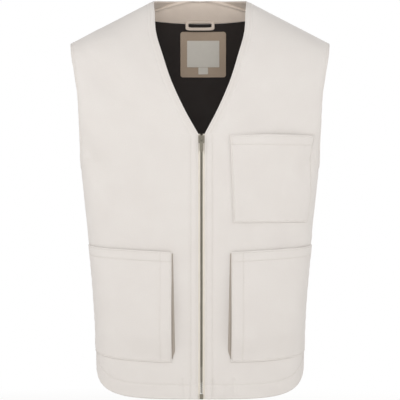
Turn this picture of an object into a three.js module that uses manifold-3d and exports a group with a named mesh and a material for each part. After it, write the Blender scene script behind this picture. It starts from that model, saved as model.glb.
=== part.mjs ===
// Sleeveless zip vest in cotton twill, size M, as it hangs on a body.
// Millimetres, +Z up, the front faces -Y and +X is the wearer's left.
// The origin lies between the two shoulder points at the neck.
import * as THREE from 'three';
import { mergeVertices } from 'three/addons/utils/BufferGeometryUtils.js';
import Module from 'manifold-3d';

const wasm = await Module();
wasm.setup();

// Body of the vest
const frontLength = 701; // shoulder point at the neck down to the front hem
const backLength = 701;
const sideLength = 639; // the same to the hem at the side seams, where the hem curves up
const underarmDrop = 305;
const shoulderFall = 77; // how far the shoulder tip lies below the shoulder point at the neck
const shoulderWidth = 466;
const chestWidth = 426;
const hemWidth = 371;
const frontDepth = 118; // centre front, ahead of the shoulder seams
const backDepth = 126; // shoulder blades, behind the shoulder seams
const armholeReach = 55; // how far the armhole opens ahead of and behind the shoulder seam
const neckWidth = 168;
const neckDrop = 244; // shoulder point at the neck down to the bottom of the V
const backNeckRise = 11;
const backNeckDepth = 80;

// Cloth
const twill = 1.5;
const liningCloth = 1.0;
const bandCloth = 1.2;
const patchCloth = 1.0;
const labelCloth = 0.6;
const pocketCloth = 1.4;
const hemDepth = 25; // turned-up hem, two layers thick
const seamGap = 0.3; // clear space between pieces that touch

// Zip, a 5 mm metal one that separates at the hem
const closureShift = 2.5; // the closing line sits a little to the wearer's left
const closureHalfGap = 5.5; // front edge to closing line
const tapeWidth = 11;
const tapeCloth = 0.8;
const toothPitch = 3.2;
const toothHook = 1.0; // how far a tooth reaches past the closing line
const toothRoot = 1.6; // bottom of the gap between two teeth, from the closing line
const chainWidth = 6;
const chainThickness = 2.4;
const sliderWidth = 9.4;
const sliderLength = 13;
const sliderPlate = 1.2;
const sliderLip = 0.8;
const wedgeWidth = 3;
const wedgeLength = 4.6;
const bridgeWidth = 2;
const bridgeLength = 6.8;
const bridgeWall = 0.9;
const pullPinRadius = 0.65;
const pullPinRoom = 0.35; // play of the puller's pin in the bridge
const pullLength = 22;
const pullWidth = 5.8;
const pullEyeWidth = 4.8;
const pullEyeWall = 0.9;
const pullEyeLength = 4.6;
const pullThickness = 1.2;
const stopLength = 2.6;
const stopWidth = 1.8;
const boxWidth = 6;
const boxLength = 9;
const boxThickness = 3.4;
const boxFloor = 1.6;
const pinWidth = 1.4;

// Chest pocket, on the wearer's left
const chestPocketFromCentre = 49;
const chestPocketWidth = 158; // measured along the cloth
const chestPocketHeight = 152;
const chestPocketTopDrop = 245;
const chestPocketLean = 6; // its inner edge drifts outward towards the bottom
const chestPocketRoom = 12;

// Lower pockets
const lowerPocketFromCentre = 51;
const lowerPocketWidth = 183;
const lowerPocketHeight = 190;
const lowerPocketAboveHem = 64;
const lowerPocketTopRise = 10; // the outer end of the mouth is higher
const lowerPocketBottomRise = 12;
const lowerPocketRoom = 15;
const gussetCloth = 1.2;
const gussetInset = 5;
const pocketHem = 15;
const pocketSeat = 0.6; // inside of a pocket's sewn edge, over the front
const gussetFrom = 0.14; // the gusset's ends, as shares of the pocket's height
const gussetTo = 0.985;

// Inside of the back
const neckBandWidth = 40;
const loopWidth = 54;
const loopHeight = 13.5; // below the band
const loopStrap = 5.5;
const patchWidth = 86;
const patchHeight = 84;
const patchShift = 6;
const labelWidth = 61;
const labelHeight = 49;
const labelFromPatchTop = 16;
const sizeTabWidth = 18;
const sizeTabHeight = 13;
const loopCloth = 1.4;
const loopCorner = 1.5;
const loopSeam = 4; // length of the loop's ends that are sewn on the band
const patchBelowLoop = 0.6;
const patchCorner = 5;
const labelCorner = 1;
const bandEndRise = 8; // the band's lower edge rises towards the shoulder seams

// Mesh columns of a half panel, a pocket and a gusset, and a pocket's rows below its hem
const columnsPerHalf = 10;
const pocketColumns = 8;
const gussetColumns = 8;
const pocketRowsBelowHem = [0, 0.06, 0.2, 0.36, 0.52, 0.68, 0.82];
const cornerSteps = 3;
const pinSides = 12;
const tongueSteps = 8;

// How finely a place on a panel is looked for, in halvings of its height and in shares of its width
const searchSteps = 22;
const walkStep = 0.01;
const slopeStep = 0.004;
const closestRows = 0.05; // nearest that two mesh rows come, in sections
const cutterReach = 30; // how far a cutter reaches behind the cloth that it follows

// One row for each section of a half front, from the hem to the shoulder seam. "centre" runs from 0 at the
// shoulder over 1 at the bottom of the V to 2 at the hem, "side" from 0 at the shoulder tip over 1 at the
// underarm to 2 at the hem, and "width" from 0 at the hem over 1 at the chest to 2 at the shoulder.
// "open" is the share of the neck width, "depth" of the front depth and "reach" of the armhole reach.
// "round" bends the section, 1 for a straight line and 2 for an ellipse, "lift" shapes its rise to the side,
// and "steps" counts the mesh rows up to the next section.
const sectionColumns = ['centre', 'open', 'depth', 'side', 'width', 'reach', 'round', 'lift', 'steps'];
const frontSections = readTable(sectionColumns, [
  [2.000, 0.000, 1.00, 2.000, 0.00, 0.00, 2.50, 1.8, 3],
  [1.793, 0.000, 1.00, 1.798, 0.06, 0.00, 2.50, 1.2, 3],
  [1.574, 0.000, 1.00, 1.572, 0.27, 0.00, 2.50, 1.0, 3],
  [1.354, 0.000, 1.00, 1.300, 0.62, 0.00, 2.50, 1.0, 3],
  [1.134, 0.000, 1.00, 1.000, 1.00, 0.00, 2.50, 1.0, 1],
  [1.060, 0.000, 1.00, 0.955, 1.00, 0.45, 2.40, 1.0, 1],
  [1.000, 0.000, 1.00, 0.800, 1.00, 0.80, 2.30, 1.0, 2],
  [0.820, 0.300, 0.95, 0.600, 1.05, 1.00, 2.20, 1.0, 2],
  [0.620, 0.575, 0.87, 0.420, 1.18, 0.98, 2.00, 1.0, 1],
  [0.435, 0.760, 0.75, 0.250, 1.50, 0.84, 1.80, 1.0, 1],
  [0.260, 0.914, 0.58, 0.120, 1.80, 0.60, 1.50, 1.0, 1],
  [0.100, 0.955, 0.36, 0.036, 1.95, 0.31, 1.15, 1.0, 1],
  [0.025, 0.985, 0.17, 0.009, 1.99, 0.15, 1.03, 1.0, 1],
  [0.000, 1.000, 0.00, 0.000, 2.00, 0.00, 1.00, 1.0, 0],
]);

// The same for a half back, where "centre" 1 is the top of the centre back and "depth" runs from 0 at the
// shoulder seam over 1 at the back neck to 2 at the shoulder blades.
const backSections = readTable(sectionColumns, [
  [2.000, 0.000, 1.83, 2.000, 0.00, 0.00, 2.50, 1.8, 3],
  [1.867, 0.000, 1.83, 1.798, 0.06, 0.00, 2.50, 1.2, 3],
  [1.726, 0.000, 1.76, 1.572, 0.27, 0.00, 2.50, 1.0, 3],
  [1.585, 0.000, 1.80, 1.300, 0.62, 0.00, 2.50, 1.0, 3],
  [1.444, 0.000, 1.92, 1.000, 1.00, 0.00, 2.50, 1.0, 1],
  [1.385, 0.000, 1.98, 0.955, 1.00, 0.45, 2.40, 1.0, 1],
  [1.325, 0.000, 2.00, 0.800, 1.00, 0.80, 2.30, 1.0, 1],
  [1.260, 0.000, 1.97, 0.600, 1.05, 1.00, 2.20, 1.0, 1],
  [1.195, 0.000, 1.87, 0.420, 1.18, 0.98, 2.00, 1.0, 1],
  [1.130, 0.000, 1.68, 0.270, 1.47, 0.86, 1.85, 1.0, 1],
  [1.062, 0.000, 1.38, 0.170, 1.70, 0.70, 1.70, 1.0, 1],
  [1.000, 0.000, 1.00, 0.100, 1.83, 0.55, 1.50, 0.9, 1],
  [0.930, 0.536, 0.925, 0.060, 1.90, 0.41, 1.35, 0.8, 1],
  [0.640, 0.880, 0.60, 0.028, 1.96, 0.26, 1.20, 0.8, 1],
  [0.320, 0.976, 0.275, 0.008, 1.99, 0.12, 1.08, 0.8, 1],
  [0.000, 1.000, 0.00, 0.000, 2.00, 0.00, 1.00, 1.0, 0],
]);

// Soft folds and dents of the fronts. The ends are shares of half the chest width and of the front length,
// the width and the depth are in millimetres, and a negative depth is a dent.
const foldColumns = ['side', 'fromX', 'fromZ', 'toX', 'toZ', 'width', 'depth'];
const foldWidth = 26;
const foldDepth = 6;
const foldFade = 0.12; // share of a half panel's width over which folds die out towards its edges
const folds = readTable(foldColumns, [
  [-1, 0.86, 0.19, 0.36, 0.34, 1.0, -0.80],
  [-1, 0.78, 0.12, 0.50, 0.22, 1.1, 0.50],
  [-1, 0.97, 0.36, 0.80, 0.46, 0.7, -0.80],
  [-1, 0.45, 0.42, 0.30, 0.60, 1.3, 0.50],
  [-1, 0.70, 0.50, 0.62, 0.61, 1.2, -0.40],
  [1, 0.84, 0.18, 0.45, 0.33, 1.0, -0.50],
  [1, 0.97, 0.37, 0.84, 0.44, 0.7, -0.60],
  [1, 0.25, 0.46, 0.18, 0.60, 1.2, 0.40],
  [1, 0.88, 0.57, 0.66, 0.62, 0.8, -0.50],
]);

const cream = { color: 0xe3dfd9, roughness: 0.92, metalness: 0 };
const paleCream = { color: 0xddd6cf, roughness: 0.92, metalness: 0 };
const beige = { color: 0xbfb1a3, roughness: 0.9, metalness: 0 };
const darkLining = { color: 0x221a16, roughness: 0.6, metalness: 0 };
const taupe = { color: 0x8d7d6d, roughness: 0.9, metalness: 0 };
const wovenWhite = { color: 0xc9c4ba, roughness: 0.8, metalness: 0 };
const agedMetal = { color: 0x8c8a82, roughness: 0.38, metalness: 0.9 };

function readTable(columns, rows) {
  return rows.map((row) => Object.fromEntries(columns.map((name, i) => [name, row[i]])));
}

// Straight line through stops that are one apart, so that 1.5 lies half-way from the second to the third
function alongStops(share, stops) {
  const i = Math.min(Math.floor(share), stops.length - 2);
  return THREE.MathUtils.lerp(stops[i], stops[i + 1], share - i);
}

// Smooth curve through a column of a section table, with a sharp turn at one row where the cloth has one
function smoothColumn(sections, name, t, turnRow) {
  const last = sections.length - 1;
  const i = Math.min(Math.floor(t), last - 1);
  const u = t - i;
  const value = (row) => sections[row][name];
  const rise = value(i + 1) - value(i);
  const slopeIn = i === 0 || i === turnRow ? rise : (value(i + 1) - value(i - 1)) / 2;
  const slopeOut = i + 1 === last || i + 1 === turnRow ? rise : (value(i + 2) - value(i)) / 2;
  const bend = u * u * (3 - 2 * u);
  return value(i) + rise * bend + slopeIn * u * (1 - u) ** 2 - slopeOut * u * u * (1 - u);
}

const underarmRow = 4;
const innerColumns = ['centre', 'open', 'depth'];

// A half front or half back as a surface: s runs from the centre or the neck edge (0) to the side seam or
// the armhole (1), and t counts the sections from the hem upwards.
function makeSurface(sections, sizes) {
  const cornerRow = sections.findIndex((row) => row.centre === 1);
  const last = sections.length - 1;

  function bare(s, t) {
    const row = {};
    for (const name of sectionColumns) {
      const turnRow = name === 'reach' ? underarmRow : innerColumns.includes(name) ? cornerRow : -1;
      row[name] = smoothColumn(sections, name, t, turnRow);
    }
    const sin = Math.sin(s * Math.PI / 2);
    const cos = Math.cos(s * Math.PI / 2);
    const radius = (sin ** row.round + cos ** row.round) ** (-1 / row.round);
    const across = sin * radius;
    const around = Math.max(0, 1 - cos * radius);
    const innerX = THREE.MathUtils.lerp(sizes.centreGap, neckWidth / 2, row.open);
    const innerY = alongStops(row.depth, sizes.depths);
    const innerZ = alongStops(row.centre, sizes.heights);
    const outerX = alongStops(row.width, [hemWidth / 2, chestWidth / 2, shoulderWidth / 2]);
    const outerY = armholeReach * row.reach;
    const outerZ = -alongStops(row.side, [shoulderFall, underarmDrop, sideLength]);
    const shift = sizes.shift * (1 - across) * (1 - row.open);
    return new THREE.Vector3(
      sizes.side * THREE.MathUtils.lerp(innerX, outerX, across) + shift,
      sizes.facing * (THREE.MathUtils.lerp(innerY, outerY, around) + seamGap / 2),
      THREE.MathUtils.lerp(innerZ, outerZ, around ** row.lift),
    );
  }

  function normal(s, t) {
    const across = bare(Math.min(1, s + slopeStep), t).sub(bare(Math.max(0, s - slopeStep), t));
    const up = bare(s, Math.min(last, t + slopeStep)).sub(bare(s, Math.max(0, t - slopeStep)));
    const out = across.cross(up).multiplyScalar(sizes.side * -sizes.facing);
    const onSideSeam = s === 1 && t <= underarmRow;
    if (t === last || onSideSeam) out.y = 0;
    if (s === 0 && t <= cornerRow) out.x = 0;
    return out.normalize();
  }

  // Folds fade out before every edge, so that the seams still meet
  function foldHeight(s, t, point) {
    const edge = THREE.MathUtils.smoothstep(Math.min(s, 1 - s), 0, foldFade);
    const ends = THREE.MathUtils.smoothstep(Math.min(t, last - t), 0, 1);
    let height = 0;
    for (const fold of sizes.folds) {
      const start = new THREE.Vector2(fold.fromX * chestWidth / 2, -fold.fromZ * frontLength);
      const end = new THREE.Vector2(fold.toX * chestWidth / 2, -fold.toZ * frontLength);
      const run = end.clone().sub(start);
      const here = new THREE.Vector2(Math.abs(point.x), point.z);
      const share = THREE.MathUtils.clamp(here.clone().sub(start).dot(run) / run.lengthSq(), 0, 1);
      const distance = here.distanceTo(start.addScaledVector(run, share));
      height += foldDepth * fold.depth * Math.exp(-((distance / (foldWidth * fold.width)) ** 2));
    }
    return height * edge * ends;
  }

  // The point that lies "out" millimetres outside the cloth's outer face
  function at(s, t, out = 0) {
    const point = bare(s, t);
    const height = foldHeight(s, t, point);
    return point.addScaledVector(normal(s, t), height + out);
  }

  return { at, bare, last, sections, length: -sizes.heights.at(-1) };
}

// Row where column s of a surface reaches the height z
function rowAtHeight(surface, s, z) {
  let low = 0;
  let high = surface.last;
  for (let i = 0; i < searchSteps; i += 1) {
    const middle = (low + high) / 2;
    if (surface.bare(s, middle).z < z) low = middle;
    else high = middle;
  }
  return (low + high) / 2;
}

// Column that lies a given length along the cloth from column s, in row t
function walkAcross(surface, s, t, length) {
  let here = surface.bare(s, t);
  let travelled = 0;
  let column = s;
  while (column < 1) {
    const next = surface.bare(column + walkStep, t);
    const hop = next.distanceTo(here);
    if (travelled + hop > length) return column + walkStep * (length - travelled) / hop;
    travelled += hop;
    column += walkStep;
    here = next;
  }
  return column;
}

// Closed cloth wall from a sheet of four-sided cells. Each corner is a pair of points, one on the outer
// and one on the inner face, and every edge that belongs to one cell only gets a side face.
function clothWall(cells) {
  const keys = new Map();
  const positions = [];
  const triangles = [];
  const keyOf = (pair) => pair.outer.toArray().map((value) => value.toFixed(3)).join(' ');
  const indexOf = (pair) => {
    const key = keyOf(pair);
    if (!keys.has(key)) {
      keys.set(key, positions.length / 3);
      positions.push(...pair.outer.toArray(), ...pair.inner.toArray());
    }
    return keys.get(key);
  };
  const addFour = (a, b, c, d) => triangles.push(a, b, c, a, c, d);
  const addFourReversed = (a, b, c, d) => triangles.push(c, b, a, d, c, a);
  const edges = new Map();
  for (const cell of cells) {
    const [a, b, c, d] = cell.map(indexOf);
    addFour(a, b, c, d);
    addFourReversed(a + 1, b + 1, c + 1, d + 1);
    for (const [from, to] of [[a, b], [b, c], [c, d], [d, a]]) {
      if (!edges.delete(`${to} ${from}`)) edges.set(`${from} ${to}`, [from, to]);
    }
  }
  for (const [from, to] of edges.values()) addFour(to, from, from + 1, to + 1);
  const geometry = new THREE.BufferGeometry();
  geometry.setAttribute('position', new THREE.Float32BufferAttribute(positions, 3));
  geometry.setIndex(triangles);
  return facingOut(geometry);
}

// Turns a closed mesh inside out where its volume comes out negative
function facingOut(geometry) {
  const position = geometry.getAttribute('position');
  const index = geometry.getIndex();
  const corner = (i) => new THREE.Vector3().fromBufferAttribute(position, index.getX(i));
  let volume = 0;
  for (let i = 0; i < index.count; i += 3) volume += corner(i).dot(corner(i + 1).cross(corner(i + 2)));
  if (volume < 0) {
    for (let i = 0; i < index.count; i += 3) {
      const kept = index.getX(i + 1);
      index.setX(i + 1, index.getX(i + 2));
      index.setX(i + 2, kept);
    }
  }
  return geometry;
}

// Cells between the points of a grid, leaving out those that "holds" turns down
function gridCells(us, vs, pairAt, holds = () => true) {
  const grid = us.map((u) => vs.map((v) => pairAt(u, v)));
  const cells = [];
  for (let i = 0; i + 1 < us.length; i += 1) {
    for (let j = 0; j + 1 < vs.length; j += 1) {
      if (holds(i, j)) cells.push([grid[i][j], grid[i + 1][j], grid[i + 1][j + 1], grid[i][j + 1]]);
    }
  }
  return cells;
}

function evenShares(count, from = 0, to = 1) {
  return Array.from({ length: count + 1 }, (_, i) => from + (to - from) * i / count);
}

// Mesh rows of a surface between two section positions
function rowShares(surface, from, to) {
  const rows = [from];
  surface.sections.forEach((section, i) => {
    for (let j = 0; j < section.steps; j += 1) {
      const t = i + j / section.steps;
      if (t > from + closestRows && t < to - closestRows) rows.push(t);
    }
  });
  rows.push(to);
  return rows;
}

function addMesh(name, geometry, finish) {
  const mesh = new THREE.Mesh(geometry, new THREE.MeshStandardMaterial(finish));
  mesh.name = name;
  group.add(mesh);
  return mesh;
}

// Solids for joining and cutting
function toSolid(geometry) {
  const bare = geometry.clone();
  for (const name of Object.keys(bare.attributes)) {
    if (name !== 'position') bare.deleteAttribute(name);
  }
  const merged = mergeVertices(bare, 1e-4);
  return new wasm.Manifold(new wasm.Mesh({
    numProp: 3,
    vertProperties: new Float32Array(merged.getAttribute('position').array),
    triVerts: new Uint32Array(merged.getIndex().array),
  }));
}

function toGeometry(solid) {
  const mesh = solid.getMesh();
  const geometry = new THREE.BufferGeometry();
  geometry.setAttribute('position', new THREE.Float32BufferAttribute(mesh.vertProperties, 3));
  geometry.setIndex(Array.from(mesh.triVerts));
  return geometry;
}

// Block between two corners
function block(low, high) {
  const size = high.map((value, i) => value - low[i]);
  const middle = high.map((value, i) => (value + low[i]) / 2);
  return toSolid(new THREE.BoxGeometry(...size).translate(...middle));
}

const group = new THREE.Group();

const frontSizes = {
  facing: -1,
  shift: closureShift,
  centreGap: closureHalfGap,
  depths: [0, frontDepth, frontDepth],
  heights: [0, -neckDrop, -frontLength],
};
const backSizes = {
  facing: 1,
  shift: 0,
  centreGap: 0,
  depths: [0, backNeckDepth, backDepth, backDepth],
  heights: [0, backNeckRise, -backLength],
  folds: [],
};
const front = (side) => makeSurface(frontSections, {
  ...frontSizes, side, folds: folds.filter((fold) => fold.side === side),
});
const frontLeft = front(1);
const frontRight = front(-1);
const backLeft = makeSurface(backSections, { ...backSizes, side: 1 });
const backRight = makeSurface(backSections, { ...backSizes, side: -1 });

// Rows of an outer panel, with the step where the turned-up hem ends
const hemStep = 2;
const hemFromColumn = 1.5 / columnsPerHalf; // the zip tape takes the place of the second layer
function panelRows(surface) {
  const hemTop = rowAtHeight(surface, 0, -surface.length + hemDepth);
  const aboveHem = rowAtHeight(surface, 0, -surface.length + hemDepth + hemStep);
  return { hemTop, rows: [0, hemTop, ...rowShares(surface, aboveHem, surface.last)] };
}

function panelCells(surface) {
  const { hemTop, rows } = panelRows(surface);
  return gridCells(evenShares(columnsPerHalf), rows, (s, t) => ({
    outer: surface.at(s, t),
    inner: surface.at(s, t, t <= hemTop && s > hemFromColumn ? -2 * twill : -twill),
  }));
}

function addFronts() {
  addMesh('front_left', clothWall(panelCells(frontLeft)), cream);
  addMesh('front_right', clothWall(panelCells(frontRight)), cream);
}

// The halves of the back share the centre line, and part at the neck
function mirroredCells(cells) {
  return cells.map((cell) => cell.map((pair) => ({
    outer: pair.outer.clone().multiply(new THREE.Vector3(-1, 1, 1)),
    inner: pair.inner.clone().multiply(new THREE.Vector3(-1, 1, 1)),
  })).reverse());
}

function addBack() {
  const half = panelCells(backLeft);
  addMesh('back', clothWall([...half, ...mirroredCells(half)]), cream);
}

// Slab of the cloth mesh between two distances from its outer face, so that what is cut from it lies snugly
// on the flat faces of the panel
function frontSkin(surface, out, inner) {
  const { rows } = panelRows(surface);
  return toSolid(clothWall(gridCells(evenShares(columnsPerHalf), rows, (s, t) => ({
    outer: surface.at(s, t, out),
    inner: surface.at(s, t, inner),
  }))));
}

function backLayer(bottom, out, cloth) {
  const rows = rowShares(backLeft, rowAtHeight(backLeft, 0, bottom), backLeft.last);
  const half = gridCells(evenShares(columnsPerHalf), rows, (s, t) => ({
    outer: backLeft.at(s, t, out),
    inner: backLeft.at(s, t, out - cloth),
  }));
  return toSolid(clothWall([...half, ...mirroredCells(half)]));
}

// Cutter with a drawn outline, x across and z up, that runs back through the cloth
function cutter(shape) {
  const through = new THREE.ExtrudeGeometry(shape, {
    depth: 2 * backDepth,
    bevelEnabled: false,
    curveSegments: cornerSteps,
  });
  return toSolid(through.rotateX(Math.PI / 2).translate(0, 2 * backDepth, 0));
}

function roundedShape(centreX, topZ, width, height, radius) {
  const left = centreX - width / 2;
  const right = centreX + width / 2;
  const bottom = topZ - height;
  const shape = new THREE.Shape();
  shape.moveTo(left + radius, bottom);
  shape.lineTo(right - radius, bottom);
  shape.absarc(right - radius, bottom + radius, radius, -Math.PI / 2, 0);
  shape.lineTo(right, topZ - radius);
  shape.absarc(right - radius, topZ - radius, radius, 0, Math.PI / 2);
  shape.lineTo(left + radius, topZ);
  shape.absarc(left + radius, topZ - radius, radius, Math.PI / 2, Math.PI);
  shape.lineTo(left, bottom + radius);
  shape.absarc(left + radius, bottom + radius, radius, Math.PI, 1.5 * Math.PI);
  return shape;
}

// Area above the lower edge of the neck band, which rises a little towards the shoulder seams
function aboveBandEdge(gap) {
  const level = backNeckRise - neckBandWidth + gap;
  const end = neckWidth / 2 + neckBandWidth;
  const shape = new THREE.Shape();
  shape.moveTo(-end, level + bandEndRise);
  shape.quadraticCurveTo(-end / 2, level, 0, level);
  shape.quadraticCurveTo(end / 2, level, end, level + bandEndRise);
  shape.lineTo(end, neckDrop);
  shape.lineTo(-end, neckDrop);
  return shape;
}

// Point inside the back at the distance x from its centre line and at the height z
function insideBack(x, z, depth) {
  let low = 0;
  let high = 1;
  for (let i = 0; i < searchSteps; i += 1) {
    const middle = (low + high) / 2;
    if (backLeft.bare(middle, rowAtHeight(backLeft, middle, z)).x < x) low = middle;
    else high = middle;
  }
  return backLeft.at(low, rowAtHeight(backLeft, low, z), -depth);
}

// The loop hangs flat from the band: its ends are sewn on, and its lower strap stands off the lining
function flatLoop(bandEdge) {
  const top = bandEdge + loopSeam;
  const outline = roundedShape(0, top, loopWidth, loopHeight + loopSeam, loopStrap / 2);
  const windowWidth = loopWidth - 2 * loopStrap;
  outline.holes.push(roundedShape(0, bandEdge, windowWidth, loopHeight - loopStrap, loopCorner));
  const seat = insideBack(loopWidth / 2, top, twill + bandCloth + 2 * seamGap).y;
  const strap = new THREE.ExtrudeGeometry(outline, {
    depth: loopCloth,
    bevelEnabled: false,
    curveSegments: cornerSteps,
  });
  return toSolid(strap.rotateX(Math.PI / 2).translate(0, seat, 0));
}

function addBackInside() {
  const liningOut = -twill - seamGap;
  const band = backLayer(-neckDrop, liningOut, bandCloth).intersect(cutter(aboveBandEdge(0)));
  addMesh('neck_facing', toGeometry(band), beige);

  const liningBottom = -backLength + hemDepth + 2 * hemStep;
  const lining = backLayer(liningBottom, liningOut, liningCloth).subtract(cutter(aboveBandEdge(-seamGap)));
  addMesh('back_lining', toGeometry(lining), darkLining);

  const bandEdge = backNeckRise - neckBandWidth;
  const bandWithClearance = backLayer(-neckDrop, liningOut, bandCloth + seamGap);
  addMesh('hanger_loop', toGeometry(flatLoop(bandEdge).subtract(bandWithClearance)), beige);

  const patchTop = bandEdge - loopHeight - patchBelowLoop;
  const patchOut = liningOut - liningCloth - seamGap;
  const patchOutline = roundedShape(patchShift, patchTop, patchWidth, patchHeight, patchCorner);
  const patch = backLayer(-neckDrop, patchOut, patchCloth).intersect(cutter(patchOutline));
  addMesh('label_patch', toGeometry(patch), taupe);

  const labelTop = patchTop - labelFromPatchTop;
  const labelLayer = backLayer(-neckDrop, patchOut - patchCloth - seamGap, labelCloth);
  const labelOutline = roundedShape(patchShift, labelTop, labelWidth, labelHeight, labelCorner);
  addMesh('woven_label', toGeometry(labelLayer.intersect(cutter(labelOutline))), wovenWhite);
  const tabTop = labelTop - labelHeight - seamGap;
  const tabOutline = roundedShape(patchShift, tabTop, sizeTabWidth, sizeTabHeight, labelCorner);
  addMesh('size_tab', toGeometry(labelLayer.intersect(cutter(tabOutline))), wovenWhite);
}

// A pocket lies on a front: a runs from its inner to its outer edge and b from its bottom to its mouth
function layPocket(surface, pocket) {
  const mouth = -pocket.topDrop;
  const bottom = mouth - pocket.height;
  const edges = new Map();
  const edgesAt = (b) => {
    if (!edges.has(b)) {
      const row = rowAtHeight(surface, 0, THREE.MathUtils.lerp(bottom, mouth, b));
      const lean = pocket.lean * (1 - b);
      const inner = walkAcross(surface, 0, row, pocket.fromCentre - closureHalfGap + lean);
      edges.set(b, [inner, walkAcross(surface, inner, row, pocket.width - lean)]);
    }
    return edges.get(b);
  };
  return (a, b) => {
    const s = THREE.MathUtils.lerp(...edgesAt(b), a);
    const low = bottom + pocket.bottomRise * a * a;
    const high = mouth + pocket.topRise * a;
    return [s, rowAtHeight(surface, s, THREE.MathUtils.lerp(low, high, b))];
  };
}

function pocketRows(height) {
  const hem = 1 - pocketHem / height;
  return [...pocketRowsBelowHem, hem, hem + 1 / height, 1];
}

// Pocket wall, open at the top, with a doubled hem along its mouth, and "spare" more cloth on its inside
function pocketSheet(surface, pocket, spare) {
  const place = layPocket(surface, pocket);
  const rows = pocketRows(pocket.height);
  const hemRow = rows[rows.length - 2];
  return toSolid(clothWall(gridCells(evenShares(pocketColumns), rows, (a, b) => {
    const [s, t] = place(a, b);
    const stand = pocketSeat + pocket.room * pocket.shape(a, b);
    const cloth = b >= hemRow ? 2 * pocketCloth : pocketCloth;
    return { outer: surface.at(s, t, stand + cloth), inner: surface.at(s, t, stand - spare) };
  })));
}

// The front and the clear space over it, which every pocket is cut back from
function frontWithClearance(surface) {
  return frontSkin(surface, seamGap, -cutterReach);
}

function pocketWall(surface, pocket) {
  return toGeometry(pocketSheet(surface, pocket, 0).subtract(frontWithClearance(surface)));
}

// Strip of cloth that joins the inner edge of a bellows pocket to the front
function gussetWall(surface, pocket) {
  const place = layPocket(surface, pocket);
  const a = gussetInset / pocket.width;
  const nextA = a + gussetCloth / pocket.width;
  const shares = evenShares(gussetColumns, gussetFrom, gussetTo);
  const strip = toSolid(clothWall(gridCells(shares, [0, 1], (b, height) => {
    const stand = pocketSeat + pocket.room * Math.max(pocket.shape(a, b), pocket.shape(nextA, b));
    const out = THREE.MathUtils.lerp(0, stand, height);
    return { outer: surface.at(...place(a, b), out), inner: surface.at(...place(nextA, b), out) };
  })));
  const onTheFront = strip.subtract(frontWithClearance(surface));
  return toGeometry(onTheFront.subtract(pocketSheet(surface, pocket, seamGap)));
}

// Share of the room that each pocket has under its wall
const chestShape = (a, b) => (1 - Math.abs(2 * a - 1) ** 3) * THREE.MathUtils.smoothstep(b, 0, 0.8);
const bellowsShape = (a, b) => {
  const upwards = THREE.MathUtils.smoothstep(b, 0, 0.4) * (1 - 0.25 * THREE.MathUtils.smoothstep(b, 0.7, 1));
  const outwards = (1 - THREE.MathUtils.smoothstep(a, 0.45, 1)) * (0.75 + 0.25 * Math.sin(Math.PI * a));
  return upwards * outwards;
};

const chestPocket = {
  fromCentre: chestPocketFromCentre,
  width: chestPocketWidth,
  height: chestPocketHeight,
  topDrop: chestPocketTopDrop,
  lean: chestPocketLean,
  topRise: 0,
  bottomRise: 0,
  room: chestPocketRoom,
  shape: chestShape,
};
const lowerPocket = {
  fromCentre: lowerPocketFromCentre,
  width: lowerPocketWidth,
  height: lowerPocketHeight,
  topDrop: frontLength - lowerPocketAboveHem - lowerPocketHeight,
  lean: 0,
  topRise: lowerPocketTopRise,
  bottomRise: lowerPocketBottomRise,
  room: lowerPocketRoom,
  shape: bellowsShape,
};

function addPockets() {
  addMesh('chest_pocket', pocketWall(frontLeft, chestPocket), cream);
  addMesh('lower_pocket_left', pocketWall(frontLeft, lowerPocket), cream);
  addMesh('lower_pocket_right', pocketWall(frontRight, lowerPocket), cream);
  addMesh('lower_gusset_left', gussetWall(frontLeft, lowerPocket), paleCream);
  addMesh('lower_gusset_right', gussetWall(frontRight, lowerPocket), paleCream);
}

// Zip. Everything is set out from the middle plane of the tapes, which lie behind the front edges.
const zipPlane = -frontDepth - seamGap / 2 + twill + seamGap + tapeCloth / 2;
const zipTop = -neckDrop;
const sliderTop = zipTop - stopLength - seamGap;
const teethTop = sliderTop - wedgeLength - seamGap;
const boxBottom = -frontLength + seamGap;
const teethBottom = boxBottom + boxLength + seamGap;
const plateInside = chainThickness / 2 + seamGap; // slider plates, from the middle plane

function zipPiece(name, solid, finish) {
  const mesh = addMesh(name, toGeometry(solid), finish);
  mesh.position.set(closureShift, zipPlane, 0);
  return mesh;
}

function addTapes() {
  for (const [name, side] of [['zip_tape_left', 1], ['zip_tape_right', -1]]) {
    const edges = [chainWidth / 2 + seamGap, chainWidth / 2 + seamGap + tapeWidth].map((x) => side * x);
    const low = [Math.min(...edges), -tapeCloth / 2, -frontLength];
    const high = [Math.max(...edges), tapeCloth / 2, zipTop - seamGap];
    zipPiece(name, block(low, high), paleCream);
  }
}

// Row of pointed teeth on one side. The other side's teeth stand half a pitch higher, so they interlock.
function teethOutline(side) {
  const base = chainWidth / 2;
  const count = Math.floor((teethTop - teethBottom - toothPitch) / toothPitch);
  const shape = new THREE.Shape();
  const bottom = teethBottom + (side > 0 ? 0 : toothPitch / 2);
  shape.moveTo(side * base, bottom);
  for (let i = 0; i < count; i += 1) {
    shape.lineTo(side * toothRoot, bottom + i * toothPitch);
    shape.lineTo(-side * toothHook, bottom + (i + 0.5) * toothPitch);
  }
  shape.lineTo(side * toothRoot, bottom + count * toothPitch);
  shape.lineTo(side * base, bottom + count * toothPitch);
  return shape;
}

function addTeeth() {
  for (const [name, side] of [['zip_teeth_left', 1], ['zip_teeth_right', -1]]) {
    const outline = { depth: chainThickness, bevelEnabled: false };
    const row = new THREE.ExtrudeGeometry(teethOutline(side), outline);
    row.rotateX(Math.PI / 2).translate(0, chainThickness / 2, 0);
    zipPiece(name, toSolid(row), agedMetal);
  }
}

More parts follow.
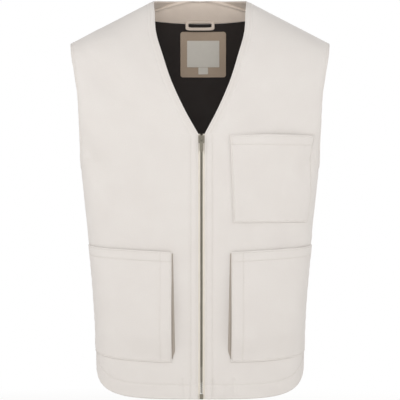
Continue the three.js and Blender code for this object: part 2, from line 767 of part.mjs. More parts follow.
function addStops() {
  for (const [name, side] of [['zip_stop_left', 1], ['zip_stop_right', -1]]) {
    const edges = [chainWidth / 2 - stopWidth, chainWidth / 2].map((x) => side * x);
    const low = [Math.min(...edges), -chainThickness / 2, sliderTop + seamGap];
    const high = [Math.max(...edges), chainThickness / 2, sliderTop + stopLength];
    zipPiece(name, block(low, high), agedMetal);
  }
}

// Separating end: the pin of one side stands in the box of the other
function addZipEnd() {
  const slotHalf = pinWidth / 2 + seamGap;
  const body = block(
    [-boxWidth / 2, -boxThickness / 2, boxBottom],
    [boxWidth / 2, boxThickness / 2, boxBottom + boxLength],
  );
  const slot = block(
    [-slotHalf, -chainThickness / 2 + seamGap, boxBottom + boxFloor],
    [slotHalf, chainThickness / 2 - seamGap, boxBottom + 2 * boxLength],
  );
  zipPiece('zip_box', body.subtract(slot), agedMetal);
  const pin = block(
    [-pinWidth / 2, -chainThickness / 2 + 2 * seamGap, boxBottom + boxFloor + seamGap],
    [pinWidth / 2, chainThickness / 2 - 2 * seamGap, boxBottom + boxLength - seamGap],
  );
  zipPiece('zip_pin', pin, agedMetal);
}

const bridgeRoom = 2 * (pullPinRadius + pullPinRoom); // clear height under the bridge
const pinZ = sliderTop - sliderLength / 2;
const pinY = -plateInside - sliderPlate - bridgeRoom / 2;

// Slider: two plates and four lips round the chain, a wedge between the rows of teeth, and a bridge
function addSlider() {
  const outside = plateInside + sliderPlate;
  const half = sliderWidth / 2;
  const bottom = sliderTop - sliderLength;
  let slider = block(
    [-wedgeWidth / 2, -outside, sliderTop - wedgeLength],
    [wedgeWidth / 2, outside, sliderTop],
  );
  for (const face of [-1, 1]) {
    const plate = [face * plateInside, face * outside];
    const lip = [face * (plateInside - sliderLip), face * outside];
    slider = slider.add(block([-half, Math.min(...plate), bottom], [half, Math.max(...plate), sliderTop]));
    for (const side of [-1, 1]) {
      const edge = [side * (half - sliderLip), side * half];
      slider = slider.add(block(
        [Math.min(...edge), Math.min(...lip), bottom],
        [Math.max(...edge), Math.max(...lip), sliderTop],
      ));
    }
  }
  slider = slider.add(bridge(outside));
  zipPiece('zip_slider', slider, agedMetal);
}

// Arch on the slider's front plate, drawn with z across and the height over the plate up
function bridge(outside) {
  const height = bridgeRoom + bridgeWall;
  const half = bridgeLength / 2;
  const seat = -sliderPlate / 2;
  const arch = new THREE.Shape();
  arch.moveTo(-half, seat);
  arch.lineTo(-half, height / 2);
  arch.lineTo(-half + bridgeWall, height);
  arch.lineTo(half - bridgeWall, height);
  arch.lineTo(half, height / 2);
  arch.lineTo(half, seat);
  arch.lineTo(half - bridgeWall, seat);
  arch.lineTo(half - bridgeWall, bridgeRoom);
  arch.lineTo(-half + bridgeWall, bridgeRoom);
  arch.lineTo(-half + bridgeWall, seat);
  const band = new THREE.ExtrudeGeometry(arch, { depth: bridgeWidth, bevelEnabled: false });
  band.translate(0, 0, -bridgeWidth / 2);
  const turn = new THREE.Matrix4().makeBasis(
    new THREE.Vector3(0, 0, 1),
    new THREE.Vector3(0, -1, 0),
    new THREE.Vector3(1, 0, 0),
  );
  band.applyMatrix4(turn).translate(0, -outside, pinZ);
  return toSolid(band);
}

// Puller: a round pin under the bridge, an eye that clears the bridge, and a flat tongue
function addPuller() {
  const eyeHalf = pullEyeWidth / 2;
  const tongueHalf = pullWidth / 2;
  const shape = new THREE.Shape();
  shape.moveTo(-eyeHalf, 0);
  shape.lineTo(-eyeHalf, -pullEyeLength);
  shape.lineTo(-tongueHalf, -pullEyeLength - pullEyeWall);
  shape.lineTo(-tongueHalf, -pullLength + tongueHalf);
  shape.absarc(0, -pullLength + tongueHalf, tongueHalf, Math.PI, 2 * Math.PI);
  shape.lineTo(tongueHalf, -pullEyeLength - pullEyeWall);
  shape.lineTo(eyeHalf, -pullEyeLength);
  shape.lineTo(eyeHalf, 0);
  const eye = new THREE.Path();
  eye.moveTo(-eyeHalf + pullEyeWall, pullPinRadius);
  eye.lineTo(-eyeHalf + pullEyeWall, -pullEyeLength);
  eye.lineTo(eyeHalf - pullEyeWall, -pullEyeLength);
  eye.lineTo(eyeHalf - pullEyeWall, pullPinRadius);
  const outline = { depth: pullThickness, bevelEnabled: false, curveSegments: tongueSteps };
  const stand = (geometry) => geometry.rotateX(Math.PI / 2).translate(0, pullThickness / 2, 0);
  const tongue = toSolid(stand(new THREE.ExtrudeGeometry(shape, outline)));
  const hole = toSolid(stand(new THREE.ExtrudeGeometry(new THREE.Shape(eye.getPoints()), outline)));
  const pin = new THREE.CylinderGeometry(pullPinRadius, pullPinRadius, pullEyeWidth, pinSides);
  const puller = tongue.subtract(hole).add(toSolid(pin.rotateZ(Math.PI / 2)));
  const mesh = zipPiece('zip_puller', puller, agedMetal);
  mesh.position.add(new THREE.Vector3(0, pinY, pinZ));
}

addFronts();
addBack();
addBackInside();
addPockets();
addTapes();
addTeeth();
addStops();
addZipEnd();
addSlider();
addPuller();

export default group;
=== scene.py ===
# %% [markdown]
# # A sleeveless zip vest in cotton twill
# The vest hangs filled out, as on a body, and is looked at straight from the front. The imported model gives
# the frame: every solid has its real place there, and each cloth piece below takes the place of one solid.
# The cloth is set out in millimetres with the same few sizes as the solids, and is turned into metres when
# a mesh is made.

# %% Frame
import math

import bpy
import numpy as np
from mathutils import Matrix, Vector


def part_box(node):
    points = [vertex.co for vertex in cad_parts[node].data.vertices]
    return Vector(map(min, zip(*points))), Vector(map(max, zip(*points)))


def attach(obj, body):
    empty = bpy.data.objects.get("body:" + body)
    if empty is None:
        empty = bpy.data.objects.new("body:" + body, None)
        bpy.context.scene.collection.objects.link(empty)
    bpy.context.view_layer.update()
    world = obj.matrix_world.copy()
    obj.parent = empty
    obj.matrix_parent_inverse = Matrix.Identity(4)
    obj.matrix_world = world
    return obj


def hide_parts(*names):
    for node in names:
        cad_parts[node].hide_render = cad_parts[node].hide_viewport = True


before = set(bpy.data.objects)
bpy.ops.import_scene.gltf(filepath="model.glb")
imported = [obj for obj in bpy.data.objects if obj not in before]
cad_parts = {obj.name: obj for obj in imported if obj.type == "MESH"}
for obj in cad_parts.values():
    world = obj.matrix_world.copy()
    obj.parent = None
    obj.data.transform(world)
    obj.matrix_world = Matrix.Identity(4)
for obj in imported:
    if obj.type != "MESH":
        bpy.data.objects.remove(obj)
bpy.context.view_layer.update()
MM = 0.001

# %% [markdown]
# ## Camera
# The photograph is level and taken from the middle of the vest's height, with a long lens, so that both
# sides of the vest show alike. A 130 mm lens from 2.6 m away shows about 0.72 m of the vest's 0.71 m.

# %% Camera
camera_data = bpy.data.cameras.new("camera")
camera_data.lens = 130
camera_data.sensor_width = 36
camera = bpy.data.objects.new("camera", camera_data)
camera.location = (0, -2.6, -0.358)
camera.rotation_euler = (math.radians(90), 0, 0)
bpy.context.scene.collection.objects.link(camera)
bpy.context.scene.camera = camera

# %% [markdown]
# ## Sizes
# These are the sizes that the cloth is cut and sewn to. "Drop" is measured down from the shoulder points
# at the neck, where the frame has its origin.

# %% Sizes in millimetres
FRONT_LENGTH = 701
BACK_LENGTH = 701
SIDE_LENGTH = 639
UNDERARM_DROP = 305
SHOULDER_FALL = 77
SHOULDER_WIDTH = 466
CHEST_WIDTH = 426
HEM_WIDTH = 371
FRONT_DEPTH = 118
BACK_DEPTH = 126
ARMHOLE_REACH = 55
NECK_WIDTH = 168
NECK_DROP = 244
BACK_NECK_RISE = 11
BACK_NECK_DEPTH = 80
TWILL = 1.5
SEAM_GAP = 0.3
SEAM_OVERLAP = 0.25
HEM_DEPTH = 25
CLOSURE_SHIFT = 2.5
CLOSURE_HALF_GAP = 5.5

# %% [markdown]
# ## The cut of the fronts and the back
# Each half panel is a curved surface. A short table gives it a row for each section from the hem to the
# shoulder seam, and smooth curves run through the columns. Along a row, `s` goes from the centre or the
# neck edge to the side seam or the armhole, and `t` counts the rows upwards. Any point of the cloth can
# then be worked out as finely as needed, so the folds, the hems and the pockets all lie on the same
# surface.

# %% Section tables
COLUMNS = ("centre", "open", "depth", "side", "width", "reach", "round", "lift")
FRONT_SECTIONS = (
    (2.000, 0.000, 1.00, 2.000, 0.00, 0.00, 2.50, 1.8),
    (1.793, 0.000, 1.00, 1.798, 0.06, 0.00, 2.50, 1.2),
    (1.574, 0.000, 1.00, 1.572, 0.27, 0.00, 2.50, 1.0),
    (1.354, 0.000, 1.00, 1.300, 0.62, 0.00, 2.50, 1.0),
    (1.134, 0.000, 1.00, 1.000, 1.00, 0.00, 2.50, 1.0),
    (1.060, 0.000, 1.00, 0.955, 1.00, 0.45, 2.40, 1.0),
    (1.000, 0.000, 1.00, 0.800, 1.00, 0.80, 2.30, 1.0),
    (0.820, 0.300, 0.95, 0.600, 1.05, 1.00, 2.20, 1.0),
    (0.620, 0.575, 0.87, 0.420, 1.18, 0.98, 2.00, 1.0),
    (0.435, 0.760, 0.75, 0.250, 1.50, 0.84, 1.80, 1.0),
    (0.260, 0.914, 0.58, 0.120, 1.80, 0.60, 1.50, 1.0),
    (0.100, 0.955, 0.36, 0.036, 1.95, 0.31, 1.15, 1.0),
    (0.025, 0.985, 0.17, 0.009, 1.99, 0.15, 1.03, 1.0),
    (0.000, 1.000, 0.00, 0.000, 2.00, 0.00, 1.00, 1.0),
)
BACK_SECTIONS = (
    (2.000, 0.000, 1.83, 2.000, 0.00, 0.00, 2.50, 1.8),
    (1.867, 0.000, 1.83, 1.798, 0.06, 0.00, 2.50, 1.2),
    (1.726, 0.000, 1.76, 1.572, 0.27, 0.00, 2.50, 1.0),
    (1.585, 0.000, 1.80, 1.300, 0.62, 0.00, 2.50, 1.0),
    (1.444, 0.000, 1.92, 1.000, 1.00, 0.00, 2.50, 1.0),
    (1.385, 0.000, 1.98, 0.955, 1.00, 0.45, 2.40, 1.0),
    (1.325, 0.000, 2.00, 0.800, 1.00, 0.80, 2.30, 1.0),
    (1.260, 0.000, 1.97, 0.600, 1.05, 1.00, 2.20, 1.0),
    (1.195, 0.000, 1.87, 0.420, 1.18, 0.98, 2.00, 1.0),
    (1.130, 0.000, 1.68, 0.270, 1.47, 0.86, 1.85, 1.0),
    (1.062, 0.000, 1.38, 0.170, 1.70, 0.70, 1.70, 1.0),
    (1.000, 0.000, 1.00, 0.100, 1.83, 0.55, 1.50, 0.9),
    (0.930, 0.536, 0.925, 0.060, 1.90, 0.41, 1.35, 0.8),
    (0.640, 0.880, 0.60, 0.028, 1.96, 0.26, 1.20, 0.8),
    (0.320, 0.976, 0.275, 0.008, 1.99, 0.12, 1.08, 0.8),
    (0.000, 1.000, 0.00, 0.000, 2.00, 0.00, 1.00, 1.0),
)
UNDERARM_ROW = 4
EDGE_COLUMNS = ("centre", "open", "depth")
UNDERARM_COLUMNS = ("side", "width", "reach")


# %% Curves through the tables
def mix(low, high, share):
    return low + (high - low) * share


def smooth_step(value, low, high):
    x = np.clip((value - low) / (high - low), 0, 1)
    return x * x * (3 - 2 * x)


def bell(value):
    """A smooth bump: 1 at 0, and next to nothing past 2."""
    return np.exp(-(value ** 2))


def along_stops(share, stops):
    return np.interp(share, range(len(stops)), stops)


def run_length(points):
    """How far each point lies along its line, or along each line of a grid's first direction."""
    hops = np.linalg.norm(np.diff(points, axis=0), axis=-1)
    return np.concatenate((np.zeros((1, *hops.shape[1:])), np.cumsum(hops, 0)))


def column_curve(values, turn_row):
    """A smooth curve through a column of a table, with a sharp turn at one row where the cloth has one."""
    values = np.array(values, float)
    last = len(values) - 1
    rise = np.diff(values)
    slope_in = rise.copy()
    slope_out = rise.copy()
    slope_in[1:] = (values[2:] - values[:-2]) / 2
    slope_out[:-1] = (values[2:] - values[:-2]) / 2
    if turn_row > 0:
        slope_in[turn_row] = rise[turn_row]
        slope_out[turn_row - 1] = rise[turn_row - 1]

    def curve(t):
        i = np.clip(np.floor(t).astype(int), 0, last - 1)
        u = t - i
        bend = rise[i] * u * u * (3 - 2 * u)
        return values[i] + bend + slope_in[i] * u * (1 - u) ** 2 - slope_out[i] * u * u * (1 - u)

    return curve


# %% [markdown]
# ## Folds and unevenness
# A pressed twill vest is smooth, yet never flat: soft drag folds run from the shoulder tips and the
# underarms, and the cloth is drawn in a little along each row of stitches. The soft folds repeat those of
# the solids. The creases are narrower, and only the fine mesh can show them.

# %% Folds and creases
FOLD_FADE = 0.12
CREASE_FADE = 0.04
FOLDS = (
    # side, from x and z, to x and z as shares of half the chest and of the length, width and depth in mm
    (-1, 0.86, 0.19, 0.36, 0.34, 26.0, -4.8),
    (-1, 0.78, 0.12, 0.50, 0.22, 28.6, 3.0),
    (-1, 0.97, 0.36, 0.80, 0.46, 18.2, -4.8),
    (-1, 0.45, 0.42, 0.30, 0.60, 33.8, 3.0),
    (-1, 0.70, 0.50, 0.62, 0.61, 31.2, -2.4),
    (1, 0.84, 0.18, 0.45, 0.33, 26.0, -3.0),
    (1, 0.97, 0.37, 0.84, 0.44, 18.2, -3.6),
    (1, 0.25, 0.46, 0.18, 0.60, 31.2, 2.4),
    (1, 0.88, 0.57, 0.66, 0.62, 20.8, -3.0),
)
CREASES = (
    (-1, 0.97, 0.375, 0.86, 0.43, 6.0, -1.1),
    (-1, 0.99, 0.40, 0.90, 0.47, 5.0, 0.7),
    (-1, 0.90, 0.145, 0.62, 0.235, 7.0, -0.9),
    (-1, 0.66, 0.60, 0.45, 0.632, 7.0, 0.6),
    (-1, 0.14, 0.955, 0.13, 0.995, 3.2, -1.9),
    (-1, 0.09, 0.955, 0.08, 0.995, 3.0, 1.3),
    (1, 0.97, 0.38, 0.88, 0.425, 6.0, -0.9),
    (1, 0.96, 0.575, 0.72, 0.625, 8.0, -1.2),
    (1, 0.95, 0.60, 0.78, 0.635, 6.0, 0.8),
    (1, 0.10, 0.955, 0.11, 0.995, 3.2, -1.9),
    (1, 0.27, 0.955, 0.27, 0.995, 3.2, -1.7),
    (1, 0.20, 0.955, 0.19, 0.995, 3.0, 1.2),
)


def fold_height(rows, side, x, z):
    """Height of the soft ridges and dents of a table at points x and z of one half."""
    height = np.zeros_like(x)
    for row_side, from_x, from_z, to_x, to_z, width, depth in rows:
        if row_side == side:
            start = np.array((from_x * CHEST_WIDTH / 2, -from_z * FRONT_LENGTH))
            run = np.array((to_x * CHEST_WIDTH / 2, -to_z * FRONT_LENGTH)) - start
            share = ((np.abs(x) - start[0]) * run[0] + (z - start[1]) * run[1]) / (run @ run)
            share = np.clip(share, 0, 1)
            gap = np.hypot(np.abs(x) - start[0] - share * run[0], z - start[1] - share * run[1])
            height += depth * bell(gap / width)
    return height


def ripple(u, v, wave, seed):
    """Even, repeatable unevenness: a few crossed waves of about the given length, from -1 to 1."""
    total = 0
    for i in range(4):
        angle = seed * 1.7 + i * 2.4
        step = 2 * math.pi / (wave * (0.7 + 0.23 * i))
        total = total + np.sin((u * math.cos(angle) + v * math.sin(angle)) * step + seed * 3.1 + i * i)
    return total / 4


# %% [markdown]
# ## Panels
# A panel gives the place and the outward direction of any spot of the cloth. The relief on it is kept in
# one function, because the stitches have to sink and rise with the cloth that they hold.

# %% Panel surfaces
SLOPE_STEP = 0.004
SLOPE_END = 0.975
BACK_REACH = 0.3


class Panel:
    """A half front or half back."""

    def __init__(self, side, facing, sections, depths, heights, centre_gap, shift):
        self.side = side
        self.facing = facing
        self.last = len(sections) - 1
        self.depths = depths
        self.heights = heights
        self.centre_gap = centre_gap
        self.shift = shift
        self.length = -heights[-1]
        self.corner_row = next(i for i, row in enumerate(sections) if row[0] == 1)
        self.curves = {}
        for name, values in zip(COLUMNS, zip(*sections)):
            turn_row = self.corner_row if name in (EDGE_COLUMNS if facing < 0 else ("open",)) else -1
            if name in UNDERARM_COLUMNS:
                turn_row = UNDERARM_ROW
            self.curves[name] = column_curve(values, turn_row)
        self.edges = {}

    def bare(self, s, t):
        s, t = np.broadcast_arrays(np.asarray(s, float), np.asarray(t, float))
        row = {name: curve(t) for name, curve in self.curves.items()}
        sin = np.sin(s * math.pi / 2)
        cos = np.clip(np.cos(s * math.pi / 2), 0, 1)
        radius = (sin ** row["round"] + cos ** row["round"]) ** (-1 / row["round"])
        across = sin * radius
        around = np.maximum(0, 1 - cos * radius)
        inner_x = mix(self.centre_gap, NECK_WIDTH / 2, row["open"])
        outer_x = along_stops(row["width"], (HEM_WIDTH / 2, CHEST_WIDTH / 2, SHOULDER_WIDTH / 2))
        outer_z = -along_stops(row["side"], (SHOULDER_FALL, UNDERARM_DROP, SIDE_LENGTH))
        shift = self.shift * (1 - across) * (1 - row["open"])
        x = self.side * mix(inner_x, outer_x, across) + shift
        inner_y = along_stops(row["depth"], self.depths)
        y = self.facing * (mix(inner_y, ARMHOLE_REACH * row["reach"], around) - SEAM_OVERLAP)
        inner_z = along_stops(row["centre"], self.heights)
        return np.stack((x, y, mix(inner_z, outer_z, around ** row["lift"])), -1)

    def normal(self, s, t):
        s, t = np.broadcast_arrays(np.asarray(s, float), np.asarray(t, float))
        inner = np.minimum(s, SLOPE_END)
        reach = SLOPE_STEP if self.facing < 0 else BACK_REACH
        across = self.bare(inner + SLOPE_STEP, t) - self.bare(np.maximum(0, inner - SLOPE_STEP), t)
        above = self.bare(inner, np.minimum(self.last, t + reach))
        up = above - self.bare(inner, np.maximum(0, t - reach))
        out = np.cross(across, up) * self.side * -self.facing
        out[..., 1][(t == self.last) | ((s == 1) & (t <= UNDERARM_ROW))] = 0
        out[..., 0][(s == 0) & (t <= self.corner_row)] = 0
        return out / np.maximum(np.linalg.norm(out, axis=-1, keepdims=True), 1e-9)

    def folds(self, s, t, point):
        if self.facing > 0:
            return np.zeros(point.shape[:-1])
        fade = smooth_step(np.minimum(s, 1 - s), 0, FOLD_FADE)
        fade = fade * smooth_step(np.minimum(t, self.last - t), 0, 1)
        soft = fold_height(FOLDS, self.side, point[..., 0], point[..., 2]) * fade
        narrow = fold_height(CREASES, self.side, point[..., 0], point[..., 2])
        return soft + narrow * smooth_step(np.minimum(s, 1 - s), 0, CREASE_FADE)

    def at(self, s, t, out=0.0):
        """The point that lies out millimetres outside the cloth's outer face, with its soft folds."""
        s, t = np.broadcast_arrays(np.asarray(s, float), np.asarray(t, float))
        point = self.bare(s, t)
        height = self.folds(s, t, point) + out
        return point + self.normal(s, t) * height[..., None]

    def row_at(self, s, z):
        """The row where column s reaches the height z."""
        s, z = np.broadcast_arrays(np.asarray(s, float), np.asarray(z, float))
        low = np.zeros(s.shape)
        high = np.full(s.shape, float(self.last))
        for _ in range(24):
            middle = (low + high) / 2
            below = self.bare(s, middle)[..., 2] < z
            low = np.where(below, middle, low)
            high = np.where(below, high, middle)
        return (low + high) / 2

    def walk(self, s, t, length):
        """The column that lies a length along the cloth from column s, in row t."""
        columns = np.linspace(s, 1, 120)
        return float(np.interp(length, run_length(self.bare(columns, t)), columns))

    def spot(self, x, z):
        """The column and row of the points at the distance x from the centre line and the height z."""
        x, z = np.broadcast_arrays(np.asarray(x, float), np.asarray(z, float))
        low = np.zeros(x.shape)
        high = np.ones(x.shape)
        for _ in range(20):
            middle = (low + high) / 2
            short = np.abs(self.bare(middle, self.row_at(middle, z))[..., 0]) < x
            low = np.where(short, middle, low)
            high = np.where(short, high, middle)
        s = (low + high) / 2
        return s, self.row_at(s, z)


# %% The four half panels
front_depths = (0, FRONT_DEPTH, FRONT_DEPTH)
front_heights = (0, -NECK_DROP, -FRONT_LENGTH)
back_depths = (0, BACK_NECK_DEPTH, BACK_DEPTH, BACK_DEPTH)
back_heights = (0, BACK_NECK_RISE, -BACK_LENGTH)


def front_panel(side):
    return Panel(side, -1, FRONT_SECTIONS, front_depths, front_heights, CLOSURE_HALF_GAP, CLOSURE_SHIFT)


def back_panel(side):
    return Panel(side, 1, BACK_SECTIONS, back_depths, back_heights, 0, 0)


front_left = front_panel(1)
front_right = front_panel(-1)
back_left = back_panel(1)
back_right = back_panel(-1)

# %% [markdown]
# ## How far a spot lies from each edge
# Seams and rows of stitches run along the edges, so the cloth's relief depends on the distance to them.
# Each edge is drawn once as a fine line on the surface, and the distance is measured to the nearest point
# of it.

# %% Edges
EDGE_POINTS = 700


def edge_line(panel, name):
    if name not in panel.edges:
        share = np.linspace(0, 1, EDGE_POINTS)
        first_row = 0 if panel.facing < 0 else panel.corner_row
        places = {
            "inner": (0 * share, mix(first_row, panel.last, share)),
            "side": (0 * share + 1, share * UNDERARM_ROW),
            "armhole": (0 * share + 1, mix(UNDERARM_ROW, panel.last, share)),
            "hem": (share, 0 * share),
            "shoulder": (share, 0 * share + panel.last),
        }
        panel.edges[name] = panel.bare(*places[name])
    return panel.edges[name]


def edge_gap(panel, name, points):
    """Distance in millimetres from points to an edge of their panel."""
    line = edge_line(panel, name)
    flat = points.reshape(-1, 3)
    gaps = np.empty(len(flat))
    for start in range(0, len(flat), 4000):
        part = flat[start:start + 4000]
        squares = (part ** 2).sum(1)[:, None] + (line ** 2).sum(1)[None] - 2 * part @ line.T
        gaps[start:start + 4000] = np.sqrt(np.maximum(squares.min(1), 0))
    return gaps.reshape(points.shape[:-1])


# %% [markdown]
# ## Seams in relief
# Where a needle goes through twill, it pulls the cloth into a groove a few tenths of a millimetre deep,
# and the turned-up layer beside it stands a little proud. Between the stitches and the edge the cloth
# puckers.

# %% Relief of the panels
EDGE_STITCH = 3
PLACKET_STITCH = 13
ARMHOLE_STITCH = 8
GROOVE = 0.6
GROOVE_WIDTH = 0.9
PUCKER = 0.28
PUCKER_REACH = 8
HEM_STEP = 0.5
DEEPEST = 0.8
SEAM_ROWS = {
    "inner": (EDGE_STITCH, PLACKET_STITCH),
    "armhole": (EDGE_STITCH, ARMHOLE_STITCH),
    "hem": (HEM_DEPTH,),
}


def groove(gap, place):
    return -GROOVE * bell((gap - place) / GROOVE_WIDTH)


def panel_relief(panel, s, t):
    """Fine relief of a panel in millimetres, over its soft folds."""
    point = panel.bare(s, t)
    x, z = point[..., 0], point[..., 2]
    along = np.hypot(x, z) + np.abs(point[..., 1])
    seed = panel.side + 2 if panel.facing < 0 else 9
    height = 0.3 * ripple(x, z, 110, seed) + 0.14 * ripple(x, z, 31, seed + 3)
    if panel.facing < 0:
        height = height * smooth_step(s, 0, 0.05)
    height = height * smooth_step(1 - s, 0, 0.05) * smooth_step(panel.last - t, 0, 0.3)
    for name, places in SEAM_ROWS.items():
        gap = edge_gap(panel, name, point)
        for place in places:
            if panel.facing < 0 or place != PLACKET_STITCH:
                height = height + groove(gap, place)
        waves = np.sin(along / 2.9 + 1.5 * np.sin(along / 11)) * (0.6 + 0.4 * np.sin(along / 37 + seed))
        height = height + PUCKER * waves * bell(gap / (places[-1] + PUCKER_REACH))
        if name == "hem":
            height = height + HEM_STEP * (1 - smooth_step(gap, places[-1] - 1, places[-1] + 1))
    return np.maximum(height, -DEEPEST)


def cloth_point(panel, s, t, out=0.0):
    """A spot of the finished cloth, with folds and fine relief."""
    s, t = np.broadcast_arrays(np.asarray(s, float), np.asarray(t, float))
    return panel.at(s, t, out + panel_relief(panel, s, t))


# %% [markdown]
# ## Closed cloth meshes
# Cloth has a thickness, and its edges are folded round. A piece is made from two faces with the same grid
# of quads, and a rim of three more rows of points that goes round every open edge in a half circle.

# %% Cloth mesh
RIM_ROWS = 3


def unit(vectors):
    return vectors / np.maximum(np.linalg.norm(vectors, axis=-1, keepdims=True), 1e-9)


def grid_quads(count_u, count_v):
    index = np.arange(count_u * count_v).reshape(count_u, count_v)
    quads = (index[:-1, :-1], index[1:, :-1], index[1:, 1:], index[:-1, 1:])
    return np.stack(quads, -1).reshape(-1, 4)


def open_edges(quads):
    """The edges that belong to one quad only, each in its quad's own direction."""
    edges = np.concatenate([quads[:, (k, (k + 1) % 4)] for k in range(4)])
    _, where, count = np.unique(np.sort(edges, 1), axis=0, return_index=True, return_counts=True)
    return edges[where[count == 1]]


def cloth_sheet(outer, inner, marks, quads):
    """Points, faces and marks of a closed piece of cloth between its outer and its inner face."""
    up = unit(outer - inner)
    first, second, _, fourth = (outer[quads[:, k]] for k in range(4))
    facing = np.einsum("ij,ij->i", np.cross(second - first, fourth - first), up[quads[:, 0]])
    if np.median(facing) < 0:
        quads = quads[:, ::-1]
    edges = open_edges(quads)
    away = np.zeros_like(outer)
    for end in (0, 1):
        out = np.cross(outer[edges[:, 1]] - outer[edges[:, 0]], up[edges[:, end]])
        np.add.at(away, edges[:, end], unit(out))
    rim = np.unique(edges)
    away = unit(away[rim])
    half = (outer[rim] - inner[rim]) / 2
    thick = np.linalg.norm(half, axis=1, keepdims=True)
    outer, inner = outer.copy(), inner.copy()
    outer[rim] -= away * thick
    inner[rim] -= away * thick
    middle = (outer[rim] + inner[rim]) / 2
    size = len(outer)
    loops = [np.arange(size)]
    rows = []
    for k in range(RIM_ROWS):
        angle = math.pi * (k + 1) / (RIM_ROWS + 1)
        rows.append(middle + half * math.cos(angle) + away * thick * math.sin(angle))
        loop = np.zeros(size, int)
        loop[rim] = 2 * size + k * len(rim) + np.arange(len(rim))
        loops.append(loop)
    loops.append(np.arange(size) + size)
    sides = []
    for near, far in zip(loops[:-1], loops[1:]):
        start, end = edges[:, 0], edges[:, 1]
        sides.append(np.stack((near[end], near[start], far[start], far[end]), -1))
    points = np.concatenate([outer, inner, *rows])
    marked = np.concatenate([marks, marks] + [marks[rim]] * RIM_ROWS)
    return points, np.concatenate([quads, quads[:, ::-1] + size, *sides]), marked


def grid_sheet(outer, inner, marks):
    """A piece of cloth whose faces are whole grids of points."""
    quads = grid_quads(*outer.shape[:2])
    return cloth_sheet(outer.reshape(-1, 3), inner.reshape(-1, 3), marks.reshape(-1, 3), quads)


# %% Mesh objects
def new_object(name, points, faces, marks=None, material=None):
    """A mesh object from points in millimetres, with the cloth's own millimetre grid kept on each point."""
    mesh = bpy.data.meshes.new(name)
    mesh.from_pydata((np.asarray(points) * MM).tolist(), [], faces)
    mesh.polygons.foreach_set("use_smooth", [True] * len(mesh.polygons))
    if marks is not None:
        layer = mesh.attributes.new("cloth", "FLOAT_VECTOR", "POINT")
        layer.data.foreach_set("vector", np.asarray(marks, np.float32).ravel())
    made = bpy.data.objects.new(name, mesh)
    bpy.context.scene.collection.objects.link(made)
    if material is not None:
        mesh.materials.append(material)
    mesh.update()
    return made


def joined(parts):
    """One set of points, faces and marks from several."""
    counts = np.cumsum([0] + [len(points) for points, _, _ in parts])
    points = np.concatenate([part[0] for part in parts])
    faces = np.concatenate([np.asarray(part[1]) + count for part, count in zip(parts, counts)])
    return points, faces, np.concatenate([part[2] for part in parts])


def make_cloth(name, parts, material):
    points, faces, marks = joined(parts)
    made = new_object(name, points, faces.tolist(), marks, material)
    print(name, "has", len(faces), "faces")
    return made


# %% [markdown]
# ## Materials
# The colours are read off the finished cloth and metal. One function turns a hex colour into the linear
# numbers that the shader wants, and one adds a node with its settings and links.

# %% Colour and node helpers
def linear(hex_colour):
    """sRGB hex to linear RGBA."""
    channels = [int(hex_colour[i:i + 2], 16) / 255 for i in (1, 3, 5)]
    return tuple([c / 12.92 if c <= 0.04045 else ((c + 0.055) / 1.055) ** 2.4 for c in channels] + [1.0])


def add_node(tree, kind, inputs=None, **settings):
    """Adds a node, sets its settings, and sets or links its inputs."""
    made = tree.nodes.new(kind)
    for name, value in settings.items():
        setattr(made, name, value)
    for name, value in (inputs or {}).items():
        if isinstance(value, bpy.types.NodeSocket):
            tree.links.new(value, made.inputs[name])
        else:
            made.inputs[name].default_value = value
    return made


def new_material(name, **shader):
    """A material with one principled shader, and its tree."""
    material = bpy.data.materials.new(name)
    material.use_nodes = True
    tree = material.node_tree
    surface = tree.nodes["Principled BSDF"]
    for socket, value in shader.items():
        surface.inputs[socket.replace("_", " ")].default_value = value
    return material, tree, surface


def cloth_place(tree):
    return add_node(tree, "ShaderNodeAttribute", attribute_name="cloth").outputs["Vector"]


def finish_surface(tree, surface, share, colours, grain, roughness, height, depth, strength=1.0):
    """Links a mix of two colours, a spread of roughness and a bump of a depth in millimetres to a shader."""
    light, dark = colours
    mixed = {"Factor": share, "A": linear(dark), "B": linear(light)}
    spread = {"Value": grain, "To Min": roughness[0], "To Max": roughness[1]}
    relief = {"Height": height, "Distance": depth * MM, "Strength": strength}
    colour = add_node(tree, "ShaderNodeMix", mixed, data_type="RGBA")
    rough = add_node(tree, "ShaderNodeMapRange", spread)
    bump = add_node(tree, "ShaderNodeBump", relief)
    tree.links.new(colour.outputs["Result"], surface.inputs["Base Color"])
    tree.links.new(rough.outputs[0], surface.inputs["Roughness"])
    tree.links.new(bump.outputs[0], surface.inputs["Normal"])


# %% [markdown]
# ### Cotton twill
# Twill is woven so that fine ribs run across it at a slant. Real ribs lie 0.6 mm apart, too fine to show
# in a picture of the whole vest, so they are drawn 1.3 mm apart. Cotton is matt, with a soft bloom of
# loose fibres that catches light at a grazing angle, and garment dyeing leaves it faintly clouded.

# %% Twill material
RIB_SPACING = 1.3
RIB_HEIGHT = 0.12
RIB_SLANT = 63
WAVE_PERIOD = 2 * math.pi / 20


